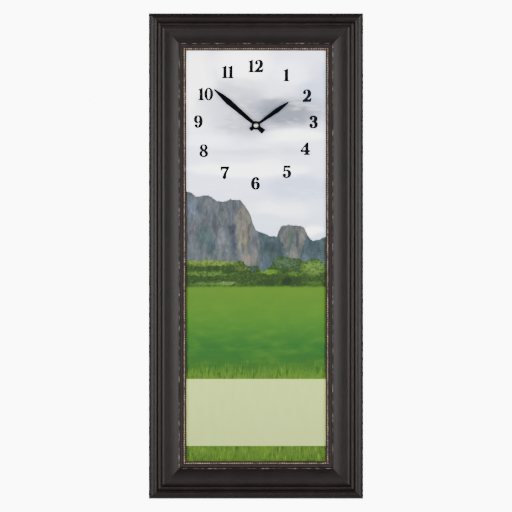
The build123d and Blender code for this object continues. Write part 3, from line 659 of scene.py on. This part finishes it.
def board_finish():
    def build(g):
        place = g.place()
        x, _, z = g.split(place)
        track_x = g.math("SINE", g.times(x, 2 * pi / (1.9 * MM)))
        track_z = g.math("SINE", g.times(z, 2 * pi / (4.6 * MM)))
        copper = g.math("MAXIMUM", g.step(track_x, 0.72, 0.8), g.step(track_z, 0.9, 0.94))
        base, _, height = varied(g, srgb(150, 104, 48), 0.2, 1400.0, place)
        colour = g.mix(copper, base, srgb(206, 142, 84))
        return {"Base Color": colour, "Roughness": g.minus(0.55, g.times(copper, 0.25)),
                "Metallic": g.times(copper, 0.7),
                "Height": (g.plus(copper, g.times(height, 0.1)), 0.00003, 0.6)}
    return finish_material("circuit_laminate", build)


def battery_finish(colours):
    low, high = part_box("battery")
    length = high.x - low.x

    def build(g):
        place = g.place()
        x, _, _ = g.split(place)
        part = g.over(g.minus(x, low.x), length)
        base, tone, height = varied(g, tuple(colours.jacket), 0.12, 800.0, place)
        pale = g.times(g.step(part, 0.66, 0.665), g.step(part, 0.93, 0.925))
        colour = g.mix(pale, base, srgb(188, 190, 190))
        ends = g.math("MAXIMUM", g.step(part, 0.02, 0.012), g.step(part, 0.955, 0.965))
        colour = g.mix(ends, colour, srgb(186, 186, 182))
        return {"Base Color": colour, "Roughness": g.plus(0.22, g.times(tone, 0.12)),
                "Metallic": g.math("MAXIMUM", ends, g.times(pale, 0.5)), "Height": (height, 0.00001, 0.3)}
    return finish_material("battery_jacket", build)


def nut_finish(colours):
    def build(g):
        place = g.place()
        x, _, z = g.split(place)
        from_axis = g.math("SQRT", g.plus(g.math("POWER", x, 2.0),
                                          g.math("POWER", g.minus(z, DIAL_Z), 2.0)))
        turned = g.math("SINE", g.times(from_axis, 2 * pi / (0.22 * MM)))
        # Darker rim of the dome, from 3.3 to 4.2 mm off the axis: painted shade where the dome turns away
        # from the light.
        painted_rim_shade = g.step(from_axis, 3.3 * MM, 4.2 * MM)
        base = g.mix(g.times(painted_rim_shade, 0.95), tuple(colours.nut), srgb(44, 48, 42))
        haze = g.noise(place, 700.0, 4.0)
        return {"Base Color": base, "Roughness": g.plus(0.2, g.times(haze, 0.16)),
                "Height": (turned, 0.000008, 0.25)}
    return finish_material("nickel_dome", build, Metallic=0.9)


# ---------------------------------------------------------------- meshes
def link_mesh(name, mesh, materials):
    piece = bpy.data.objects.new(name, mesh)
    bpy.context.scene.collection.objects.link(piece)
    for material in materials:
        mesh.materials.append(material)
    return piece


def smooth(mesh, angle):
    mesh.shade_smooth()
    mesh.set_sharp_from_angle(angle=radians(angle))


def through(points, steps):
    """Points of a smooth line through the given ones, without the last."""
    padded = [points[0]] + list(points) + [points[-1]]
    line = []
    for n in range(1, len(padded) - 2):
        p0, p1, p2, p3 = (Vector(p) for p in padded[n - 1:n + 3])
        for k in range(steps):
            t = k / steps
            line.append(0.5 * ((2 * p1) + (p2 - p0) * t + (2 * p0 - 5 * p1 + 4 * p2 - p3) * t * t
                               + (3 * p1 - p0 - 3 * p2 + p3) * t ** 3))
    return line


def moulding_section():
    """Section as (inward, forward) points in metres from the outer back corner, and the first back point."""
    roll = [(0.6, 31), (3.2, 36.2), (9.0, 38.1), (13.4, 36.9), (16.0, 34.6)]
    fillet = [(16.0, 34.6), (16.3, 35.6), (17.0, 36.1), (20.2, 36.1), (20.9, 35.9)]
    cove = [(21.2, 35.6), (22.2, 34.0), (23.8, 32.8), (26.6, 31.9), (30.6, 31.5)]
    slope = [(30.6, 31.5), (33.0, 31.35), (38.0, 30.75), (44.5, 29.4), (50.4, 27.4)]
    ridge_and_lip = [(50.4, 27.4), (50.7, 27.85), (51.4, 28.0), (52.1, 27.7), (52.7, 26.6), (53.5, 25.6),
                     (54.6, 25.4), (56.9, 25.5), (57.6, 24.9), (63.0, 24.9), (63.5, 24.5)]
    rabbet = [(63.5, 20.5), (52.5, 20.5), (52.5, 0)]
    front = [(0, 0), (0, 29), (0.15, 30.2), *through(roll, 8), *fillet, *through(cove, 5),
             *through(slope, 6), *ridge_and_lip]
    return [Vector(p) * MM for p in (*front, *rabbet)], len(front)


def moulding(name, length, to_place, steps, materials):
    """One mitred side of the frame, with a map of its length and of the distance from its outer edge."""
    section, first_back = moulding_section()
    work = bmesh.new()
    uv = work.loops.layers.uv.new("moulding")
    flat = {}
    rings = []
    for n in range(steps + 1):
        ring = []
        for p in section:
            along = (2 * n / steps - 1) * (length / 2 - p.x)
            vert = work.verts.new(to_place(along, p.x, FRAME_BACK + p.y))
            flat[vert] = (along, p.x)
            ring.append(vert)
        rings.append(ring)
    count = len(section)
    for a, b in zip(rings, rings[1:]):
        for k in range(count):
            face = work.faces.new((a[k], a[(k + 1) % count], b[(k + 1) % count], b[k]))
            face.material_index = 1 if k >= first_back else 0
    for ring in (rings[0], rings[-1]):
        work.faces.new(ring).material_index = 1
    bmesh.ops.recalc_face_normals(work, faces=work.faces)
    for face in work.faces:
        for loop in face.loops:
            loop[uv].uv = flat[loop.vert]
    mesh = bpy.data.meshes.new(name)
    work.to_mesh(mesh)
    work.free()
    smooth(mesh, 38)
    return link_mesh(name, mesh, materials)


def lathe(name, profile, centre, segments, material):
    """Solid turned about the line square to the wall: profile gives (radius, depth) pairs, front to back."""
    work = bmesh.new()
    rings = []
    for radius, y in profile:
        if radius == 0:
            rings.append([work.verts.new((centre[0], y, centre[1]))])
        else:
            rings.append([work.verts.new((centre[0] + radius * cos(a), y, centre[1] + radius * sin(a)))
                          for a in (2 * pi * k / segments for k in range(segments))])
    for a, b in zip(rings, rings[1:]):
        for k in range(segments):
            j = (k + 1) % segments
            if len(a) == 1:
                work.faces.new((a[0], b[k], b[j]))
            elif len(b) == 1:
                work.faces.new((a[k], b[0], a[j]))
            else:
                work.faces.new((a[k], b[k], b[j], a[j]))
    bmesh.ops.recalc_face_normals(work, faces=work.faces)
    mesh = bpy.data.meshes.new(name)
    work.to_mesh(mesh)
    work.free()
    smooth(mesh, 40)
    return link_mesh(name, mesh, [material])


# ---------------------------------------------------------------- numeral outlines
# Corner points are marked "c", the others are round. A numeral is one unit high.
DIGIT_ONE = [[
    (0.02, 0, "c"), (0.46, 0, "c"), (0.46, 0.05, "c"), (0.37, 0.075), (0.355, 0.13, "c"), (0.355, 1.0, "c"),
    (0.28, 1.0, "c"), (0.20, 0.93), (0.03, 0.885, "c"), (0.03, 0.835, "c"), (0.10, 0.83),
    (0.13, 0.79, "c"), (0.13, 0.13, "c"), (0.11, 0.075), (0.02, 0.05, "c")]]
DIGIT_TWO = [[
    (0.03, 0, "c"), (0.58, 0, "c"), (0.635, 0.28, "c"), (0.585, 0.285, "c"), (0.545, 0.205), (0.47, 0.175),
    (0.27, 0.172, "c"), (0.44, 0.33), (0.575, 0.50), (0.61, 0.71), (0.53, 0.92), (0.32, 1.0),
    (0.13, 0.92), (0.055, 0.77), (0.085, 0.665), (0.165, 0.635), (0.245, 0.69),
    (0.24, 0.78), (0.195, 0.855), (0.225, 0.92), (0.29, 0.935), (0.375, 0.865),
    (0.395, 0.70), (0.34, 0.49), (0.20, 0.27), (0.03, 0.10, "c")]]
DIGIT_THREE = [[
    (0.03, 0.22), (0.09, 0.06), (0.29, -0.012), (0.52, 0.06), (0.61, 0.27), (0.56, 0.45),
    (0.44, 0.53, "c"), (0.54, 0.62), (0.58, 0.77), (0.50, 0.94), (0.30, 1.012), (0.12, 0.95),
    (0.05, 0.82), (0.085, 0.72), (0.16, 0.69), (0.235, 0.74), (0.235, 0.82),
    (0.205, 0.88), (0.23, 0.93), (0.285, 0.945), (0.36, 0.885), (0.375, 0.76),
    (0.33, 0.62), (0.22, 0.57, "c"), (0.22, 0.50, "c"), (0.35, 0.45), (0.395, 0.27), (0.36, 0.11),
    (0.27, 0.055), (0.21, 0.085), (0.225, 0.14), (0.25, 0.22), (0.215, 0.31),
    (0.13, 0.345), (0.055, 0.31)]]
DIGIT_FOUR = [
    [(0.25, 0, "c"), (0.66, 0, "c"), (0.66, 0.05, "c"), (0.575, 0.075), (0.55, 0.12, "c"), (0.55, 0.24, "c"),
     (0.66, 0.24, "c"), (0.66, 0.355, "c"), (0.55, 0.355, "c"), (0.55, 1.0, "c"), (0.45, 1.0, "c"),
     (0.02, 0.355, "c"),
     (0.02, 0.24, "c"), (0.36, 0.24, "c"), (0.36, 0.12, "c"), (0.335, 0.075), (0.25, 0.05, "c")],
    [(0.36, 0.355, "c"), (0.36, 0.77, "c"), (0.10, 0.355, "c")]]
DIGIT_FIVE = [[
    (0.11, 1.0, "c"), (0.55, 1.0, "c"), (0.565, 0.835, "c"), (0.18, 0.835, "c"), (0.165, 0.625, "c"),
    (0.32, 0.665),
    (0.52, 0.59), (0.61, 0.33), (0.51, 0.075), (0.27, -0.012), (0.09, 0.06), (0.03, 0.205),
    (0.065, 0.305), (0.15, 0.335), (0.24, 0.29), (0.25, 0.205), (0.22, 0.135),
    (0.23, 0.07), (0.29, 0.055), (0.375, 0.13), (0.40, 0.33), (0.36, 0.53), (0.26, 0.59),
    (0.17, 0.56), (0.13, 0.50, "c"), (0.075, 0.50, "c")]]
DIGIT_SIX = [
    [(0.32, -0.012), (0.54, 0.07), (0.62, 0.31), (0.55, 0.54), (0.38, 0.615),
     (0.245, 0.565), (0.27, 0.80), (0.335, 0.92), (0.385, 0.94), (0.40, 0.90),
     (0.38, 0.84), (0.395, 0.765), (0.475, 0.725), (0.55, 0.77), (0.56, 0.86),
     (0.495, 0.965), (0.37, 1.012), (0.15, 0.91), (0.03, 0.64), (0.02, 0.38), (0.11, 0.09)],
    [(0.33, 0.53), (0.405, 0.46), (0.425, 0.30), (0.395, 0.12), (0.325, 0.05),
     (0.25, 0.12), (0.225, 0.30), (0.25, 0.46)]]
DIGIT_SEVEN = [[
    (0.04, 1.0, "c"), (0.62, 1.0, "c"), (0.62, 0.90, "c"), (0.49, 0.62), (0.405, 0.32), (0.385, 0.06),
    (0.29, -0.012), (0.195, 0.06), (0.215, 0.28), (0.34, 0.57), (0.50, 0.835, "c"),
    (0.20, 0.835, "c"), (0.125, 0.80), (0.095, 0.69, "c"), (0.04, 0.69, "c")]]
DIGIT_EIGHT = [
    [(0.32, -0.012), (0.54, 0.06), (0.615, 0.24), (0.565, 0.42), (0.46, 0.535),
     (0.545, 0.64), (0.575, 0.78), (0.505, 0.945), (0.32, 1.012), (0.135, 0.945),
     (0.06, 0.77), (0.10, 0.61), (0.185, 0.515), (0.07, 0.42), (0.02, 0.24), (0.10, 0.06)],
    [(0.32, 0.95), (0.40, 0.89), (0.425, 0.78), (0.37, 0.605), (0.25, 0.68),
     (0.215, 0.80), (0.24, 0.90)],
    [(0.32, 0.05), (0.42, 0.11), (0.435, 0.23), (0.38, 0.36), (0.265, 0.455),
     (0.20, 0.36), (0.18, 0.23), (0.215, 0.11)]]


def oval(rx, ry):
    return [(0.32 + rx * cos(pi * k / 5), 0.5 + ry * sin(pi * k / 5)) for k in range(10)]


def turned_over(contours):
    return [[(0.64 - x, 1 - y, *corner) for x, y, *corner in contour] for contour in contours]


DIGITS = {
    "0": [oval(0.30, 0.512), oval(0.125, 0.455)], "1": DIGIT_ONE, "2": DIGIT_TWO, "3": DIGIT_THREE,
    "4": DIGIT_FOUR, "5": DIGIT_FIVE, "6": DIGIT_SIX, "7": DIGIT_SEVEN, "8": DIGIT_EIGHT,
    "9": turned_over(DIGIT_SIX),
}
# In shares of a numeral's height: outward thickening, room for a one, room for any other, and their stretch
BOLD = 0.035
NARROW = 0.50
WIDE = 0.76
SPREAD = 1.15
# Centres of the numerals from the middle of the dial, in mm
NUMERAL_PLACES = {
    12: (0, 98.9), 1: (51.6, 83.7), 2: (86.2, 49), 3: (97.4, 4.4), 4: (82.9, -40.6), 5: (52.4, -79.5),
    6: (-0.6, -98.9), 7: (-52.4, -81.2), 8: (-87.9, -44), 9: (-97.2, 5.1), 10: (-84.6, 51.6),
    11: (-47.3, 88.8),
}
RING_LIFT = 1.5


def numeral(hour, height, thick, material):
    """Flat printed numeral, a hair proud of the sheet."""
    text = str(hour)
    advance = [NARROW if d == "1" else WIDE for d in text]
    left = -sum(advance) / 2
    shape = bpy.data.curves.new("numeral_outline", "CURVE")
    shape.dimensions = "2D"
    shape.fill_mode = "BOTH"
    shape.resolution_u = 8
    shape.extrude = thick / 2
    shape.offset = BOLD * height
    for digit, wide in zip(text, advance):
        stretch = 1.0 if digit == "1" else SPREAD
        for contour in DIGITS[digit]:
            line = shape.splines.new("BEZIER")
            line.bezier_points.add(len(contour) - 1)
            for point, (x, y, *corner) in zip(line.bezier_points, contour):
                point.co = ((left + x * stretch) * height, (y - 0.5) * height, 0)
                point.handle_left_type = point.handle_right_type = "VECTOR" if corner else "AUTO"
            line.use_cyclic_u = True
        left += wide
    holder = bpy.data.objects.new("numeral_holder", shape)
    bpy.context.scene.collection.objects.link(holder)
    bpy.context.view_layer.update()
    mesh = bpy.data.meshes.new_from_object(holder.evaluated_get(bpy.context.evaluated_depsgraph_get()))
    bpy.data.objects.remove(holder)
    bpy.data.curves.remove(shape)
    dx, dz = NUMERAL_PLACES[hour]
    for vert in mesh.vertices:
        x, up, out = vert.co
        vert.co = (dx * MM + x, PRINT_Y - thick / 2 - out - 0.000002, DIAL_Z + (dz + RING_LIFT) * MM + up)
    mesh.name = f"numeral_{hour:02d}"
    mesh.materials.clear()
    return link_mesh(mesh.name, mesh, [material])


# ---------------------------------------------------------------- bead rows by geometry nodes
def bead_tree(material):
    """Beads strung between two points: named inputs for ends, count, radius, neck, spread and seed."""
    tree = bpy.data.node_groups.new("bead_string", "GeometryNodeTree")
    face = tree.interface
    for title, kind in (("Start", VECTOR), ("End", VECTOR), ("Count", "NodeSocketInt"), ("Radius", FLOAT),
                        ("Neck", FLOAT), ("Spread", FLOAT), ("Seed", "NodeSocketInt")):
        face.new_socket(title, in_out="INPUT", socket_type=kind)
    face.new_socket("Geometry", in_out="OUTPUT", socket_type="NodeSocketGeometry")
    g = Graph(tree)
    inp = tree.nodes.new("NodeGroupInput").outputs
    out = tree.nodes.new("NodeGroupOutput")
    line = g.add("GeometryNodeCurvePrimitiveLine", ("Start", inp["Start"]), ("End", inp["End"]))
    spots = g.add("GeometryNodeCurveToPoints", ("Curve", line), ("Count", inp["Count"]))
    ball = g.add("GeometryNodeMeshUVSphere", ("Segments", 14), ("Rings", 8), ("Radius", inp["Radius"]))
    low = g.minus(1.0, inp["Spread"])
    size = g.add("FunctionNodeRandomValue", (2, low), (3, 1.0), ("Seed", inp["Seed"]),
                 out=1, data_type="FLOAT")
    beads = g.add("GeometryNodeInstanceOnPoints", ("Points", spots), ("Instance", ball), ("Scale", size))
    ring = g.add("GeometryNodeCurvePrimitiveCircle", ("Resolution", 8), ("Radius", inp["Neck"]))
    cord = g.add("GeometryNodeCurveToMesh", ("Curve", line), ("Profile Curve", ring), ("Fill Caps", True))
    join = tree.nodes.new("GeometryNodeJoinGeometry")
    tree.links.new(g.add("GeometryNodeRealizeInstances", ("Geometry", beads)), join.inputs[0])
    tree.links.new(cord, join.inputs[0])
    shaded = g.add("GeometryNodeSetShadeSmooth", (0, join.outputs[0]))
    real = g.add("GeometryNodeRealizeInstances", ("Geometry", shaded))
    g.put(out.inputs[0], g.add("GeometryNodeSetMaterial", ("Geometry", real), ("Material", material)))
    return tree


def apply_tree(name, tree, values, material):
    """Runs a geometry tree with named values and returns the plain mesh piece."""
    holder = bpy.data.objects.new("tree_holder", bpy.data.meshes.new("tree_holder"))
    bpy.context.scene.collection.objects.link(holder)
    modifier = holder.modifiers.new("tree", "NODES")
    modifier.node_group = tree
    for item in tree.interface.items_tree:
        if item.in_out == "INPUT" and item.name in values:
            modifier[item.identifier] = values[item.name]
    bpy.context.view_layer.update()
    mesh = bpy.data.meshes.new_from_object(holder.evaluated_get(bpy.context.evaluated_depsgraph_get()))
    holder.modifiers.remove(modifier)
    bpy.data.objects.remove(holder)
    mesh.name = name
    mesh.materials.clear()
    return link_mesh(name, mesh, [material])


# ---------------------------------------------------------------- operators
def settings():
    return bpy.context.scene.clock_sizes, bpy.context.scene.clock_colours


def dress(material, *nodes):
    """Gives CAD nodes a finished material in place of the plain one."""
    for node in nodes:
        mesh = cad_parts[node].data
        mesh.materials.clear()
        mesh.materials.append(material)


class CLOCK_OT_shared(Operator):
    """Make the shader groups that the finishes share"""
    bl_idname = "clock.shared"
    bl_label = "Shared effects"

    def execute(self, context):
        make_shared_groups()
        make_patch_group()
        return {"FINISHED"}


class CLOCK_OT_mouldings(Operator):
    """Run the moulding round the four sides, mitred at the corners"""
    bl_idname = "clock.mouldings"
    bl_label = "Mouldings"

    def execute(self, context):
        sizes, colours = settings()
        finishes = [lacquer_finish(colours, sizes), raw_wood_finish()]
        width, height = 2 * SIDE, TOP - BOTTOM
        sides = {
            "moulding_top": ("rail_top", width, lambda s, u, v: (s, -v, TOP - u)),
            "moulding_bottom": ("rail_bottom", width, lambda s, u, v: (-s, -v, BOTTOM + u)),
            "moulding_right": ("stile_right", height, lambda s, u, v: (SIDE - u, -v, MIDDLE_Z - s)),
            "moulding_left": ("stile_left", height, lambda s, u, v: (u - SIDE, -v, MIDDLE_Z + s)),
        }
        for name, (node, length, to_place) in sides.items():
            piece = moulding(name, length, to_place, sizes.moulding_steps, finishes)
            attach(piece, "clock")
            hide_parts(node)
        return {"FINISHED"}


class CLOCK_OT_bead_rows(Operator):
    """String the beads along the four sides of the sight edge"""
    bl_idname = "clock.bead_rows"
    bl_label = "Bead rows"

    def execute(self, context):
        sizes, colours = settings()
        finish = bead_finish(colours)
        tree = bead_tree(finish)
        x, top, low = SIGHT_HALF + BEAD_INSET, SIGHT_TOP + BEAD_INSET, BOTTOM + MOULD_W - BEAD_INSET
        pitch = (top - low) / (BEADS_DOWN + 1)
        rows = {
            "beads_top": ((-x, LIP_Y, top), (x, LIP_Y, top), BEADS_ACROSS),
            "beads_bottom": ((-x, LIP_Y, low), (x, LIP_Y, low), BEADS_ACROSS),
            "beads_left": ((-x, LIP_Y, low + pitch), (-x, LIP_Y, top - pitch), BEADS_DOWN),
            "beads_right": ((x, LIP_Y, low + pitch), (x, LIP_Y, top - pitch), BEADS_DOWN),
        }
        for seed, (node, (start, end, count)) in enumerate(rows.items()):
            values = {"Start": start, "End": end, "Count": count, "Radius": sizes.bead_radius,
                      "Neck": BEAD_NECK, "Spread": sizes.bead_spread, "Seed": seed}
            piece = apply_tree("string_of_" + node, tree, values, finish)
            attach(piece, "clock")
            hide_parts(node)
        return {"FINISHED"}


class CLOCK_OT_printed_face(Operator):
    """Print the landscape on the sheet"""
    bl_idname = "clock.printed_face"
    bl_label = "Printed face"

    def execute(self, context):
        dress(print_finish(), "printed_face")
        return {"FINISHED"}


class CLOCK_OT_numerals(Operator):
    """Print the twelve numerals round the dial"""
    bl_idname = "clock.numerals"
    bl_label = "Numerals"

    def execute(self, context):
        sizes, colours = settings()
        ink = plain_finish("numeral_ink", tuple(colours.ink), 0.3, 1500.0, 0.6, depth=0.000005,
                           Specular_IOR_Level=0.015)
        for hour in NUMERAL_PLACES:
            piece = numeral(hour, sizes.numeral_height, sizes.ink_height, ink)
            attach(piece, "clock")
        return {"FINISHED"}


class CLOCK_OT_hands(Operator):
    """Paint the hands and turn the domed nut"""
    bl_idname = "clock.hands"
    bl_label = "Hands and cap nut"

    def execute(self, context):
        _, colours = settings()
        paint = plain_finish("hand_paint", tuple(colours.hand), 0.3, 900.0, 0.45, depth=0.00001,
                             Specular_IOR_Level=0.008)
        dress(paint, "hour_hand", "minute_hand")
        front, back, radius = NUT_BOX[0].y, NUT_BOX[1].y, NUT_BOX[1].x
        height = back - front
        dome = [(0.0, front)]
        dome += [(radius * 0.93 * sin(pi * k / 24), front + height * 0.62 * (1 - cos(pi * k / 24)))
                 for k in range(1, 13)]
        dome += [(radius * 0.97, front + height * 0.63), (radius, front + height * 0.68),
                 (radius, back - 0.3 * MM), (radius * 0.95, back), (NUT_HOLE_R, back),
                 (NUT_HOLE_R, back - NUT_HOLE_DEPTH), (0.0, back - NUT_HOLE_DEPTH)]
        piece = lathe("domed_cap_nut", dome, (0.0, DIAL_Z), 48, nut_finish(colours))
        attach(piece, "minute")
        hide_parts("cap_nut")
        return {"FINISHED"}


class CLOCK_OT_fittings(Operator):
    """Finish the board, nails, points, hanger, bumpers, gasket, washer and nut"""
    bl_idname = "clock.fittings"
    bl_label = "Back and fittings"

    def execute(self, context):
        dress(hardboard_finish(), "backing_board")
        zinc = plain_finish("zinc_plate", srgb(176, 178, 176), 0.15, 1200.0, 0.38, metal=0.9)
        dress(zinc, "corner_v_nails", "framers_points", "sawtooth_hanger", "hanger_screws",
              "contact_positive", "contact_negative")
        dress(plain_finish("clear_rubber", srgb(190, 190, 186), 0.08, 500.0, 0.45), "wall_bumpers")
        dress(plain_finish("black_rubber", srgb(26, 26, 26), 0.25, 900.0, 0.7), "rubber_gasket")
        brass = plain_finish("turned_brass", srgb(188, 158, 100), 0.12, 1300.0, 0.28, metal=0.95)
        dress(brass, "brass_washer", "hex_nut", "minute_arbor")
        return {"FINISHED"}


class CLOCK_OT_movement(Operator):
    """Finish the movement's case, plate, gears, motor, circuit and cell"""
    bl_idname = "clock.movement"
    bl_label = "Movement"

    def execute(self, context):
        _, colours = settings()
        black = plain_finish("moulded_black", srgb(30, 30, 32), 0.3, 1600.0, 0.52, depth=0.00006, amount=0.5)
        dress(black, "case_front", "case_back")
        grey = plain_finish("knob_plastic", srgb(92, 92, 94), 0.2, 1400.0, 0.45, depth=0.00004)
        dress(grey, "setting_knob")
        nylon = plain_finish("moulded_nylon", srgb(222, 219, 208), 0.06, 1100.0, 0.42)
        dress(nylon, "train_plate", "intermediate_wheel", "seconds_wheel", "third_wheel", "centre_wheel",
              "motion_wheel", "hour_wheel", "coil_bobbin", "rotor")
        steel = plain_finish("lamination", srgb(132, 130, 126), 0.2, 900.0, 0.45, metal=0.8)
        dress(steel, "stator", "coil_core")
        dress(winding_finish(), "coil_winding")
        dress(board_finish(), "circuit_board")
        dress(plain_finish("potting", srgb(18, 18, 18), 0.3, 1500.0, 0.3), "driver_chip")
        can = plain_finish("crystal_can", srgb(196, 196, 190), 0.1, 1200.0, 0.25, metal=0.95)
        dress(can, "quartz_crystal")
        dress(battery_finish(colours), "battery")
        return {"FINISHED"}


# ---------------------------------------------------------------- stage
# Name, place from the middle of the frame (m), size (m) and power (W)
LIGHTS = (
    ("soft_left", (-1.6, -2.3, 0.1), (1.9, 1.3), 196),
    ("soft_right", (1.6, -2.3, 0.1), (1.9, 1.3), 196),
    ("soft_front", (0, -7.0, -0.7), (1.6, 1.6), 88),
    ("soft_top", (0, -1.6, 2.1), (1.8, 0.8), 6),
    ("soft_left_side", (-2.6, 0.5, 0.3), (1.2, 2.0), 45),
    ("soft_right_side", (2.6, 0.5, 0.3), (1.2, 2.0), 45),
    ("soft_back", (0.5, 2.4, 1.2), (2.0, 2.0), 90),
)
FLOOR_DROP = 1.5
CAMERA_DISTANCE = 6.0
VIEW_SHARE = 0.951
SURROUND_LEVEL = 0.3
BACKDROP_LEVEL = 10.0


def area_light(name, offset, size, power):
    """Soft rectangular light that faces the middle of the frame."""
    lamp = bpy.data.lights.new(name, "AREA")
    lamp.shape = "RECTANGLE"
    lamp.size, lamp.size_y = size
    lamp.energy = power
    holder = bpy.data.objects.new(name, lamp)
    bpy.context.scene.collection.objects.link(holder)
    holder.location = Vector(offset) + Vector((0, 0, MIDDLE_Z))
    holder.rotation_euler = (-Vector(offset)).to_track_quat("-Z", "Y").to_euler()


class CLOCK_OT_stage(Operator):
    """Set the floor, the soft lights, the surround and the camera"""
    bl_idname = "clock.stage"
    bl_label = "Stage"

    def execute(self, context):
        scene = bpy.context.scene
        pale = plain_finish("pale_floor", srgb(240, 240, 240), 0.01, 40.0, 0.8)
        bpy.ops.mesh.primitive_plane_add(size=7, location=(0, 0, MIDDLE_Z - FLOOR_DROP))
        floor = bpy.context.object
        floor.name = "floor"
        floor.data.materials.append(pale)
        for light in LIGHTS:
            area_light(*light)
        world = bpy.data.worlds.new("surround")
        world.use_nodes = True
        g = Graph(world.node_tree)
        direct = g.add("ShaderNodeLightPath", out="Is Camera Ray")
        level = g.plus(SURROUND_LEVEL, g.times(direct, BACKDROP_LEVEL))
        backdrop = world.node_tree.nodes["Background"]
        backdrop.inputs["Color"].default_value = (1, 1, 1, 1)
        g.put(backdrop.inputs["Strength"], level)
        scene.world = world
        view_width = (TOP - BOTTOM) / VIEW_SHARE
        lens = bpy.data.cameras.new("camera")
        lens.lens = lens.sensor_width * CAMERA_DISTANCE / view_width
        lens.clip_end = 40
        camera = bpy.data.objects.new("camera", lens)
        scene.collection.objects.link(camera)
        camera.location = (0, CAD_BOX[0].y - CAMERA_DISTANCE, MIDDLE_Z)
        camera.rotation_euler = (pi / 2, 0, 0)
        scene.camera = camera
        return {"FINISHED"}


OPERATORS = (
    CLOCK_OT_shared, CLOCK_OT_mouldings, CLOCK_OT_bead_rows, CLOCK_OT_printed_face, CLOCK_OT_numerals,
    CLOCK_OT_hands, CLOCK_OT_fittings, CLOCK_OT_movement, CLOCK_OT_stage)


class CLOCK_PT_panel(Panel):
    """Sizes, colours and one button for each piece"""
    bl_idname = "CLOCK_PT_panel"
    bl_label = "Framed wall clock"
    bl_space_type = "VIEW_3D"
    bl_region_type = "UI"
    bl_category = "Clock"

    def draw(self, context):
        for group in (context.scene.clock_sizes, context.scene.clock_colours):
            for name in group.__annotations__:
                self.layout.prop(group, name)
        for operator in OPERATORS:
            self.layout.operator(operator.bl_idname)


CLASSES = (ClockSizes, ClockColours, *OPERATORS, CLOCK_PT_panel)


def register():
    for cls in CLASSES:
        bpy.utils.register_class(cls)
    bpy.types.Scene.clock_sizes = PointerProperty(type=ClockSizes)
    bpy.types.Scene.clock_colours = PointerProperty(type=ClockColours)


def unregister():
    del bpy.types.Scene.clock_colours
    del bpy.types.Scene.clock_sizes
    for cls in reversed(CLASSES):
        bpy.utils.unregister_class(cls)


def main():
    register()
    bpy.ops.clock.shared()
    bpy.ops.clock.stage()
    bpy.ops.clock.mouldings()
    bpy.ops.clock.bead_rows()
    bpy.ops.clock.printed_face()
    bpy.ops.clock.numerals()
    bpy.ops.clock.hands()
    bpy.ops.clock.fittings()
    bpy.ops.clock.movement()


if __name__ == "__main__":
    main()
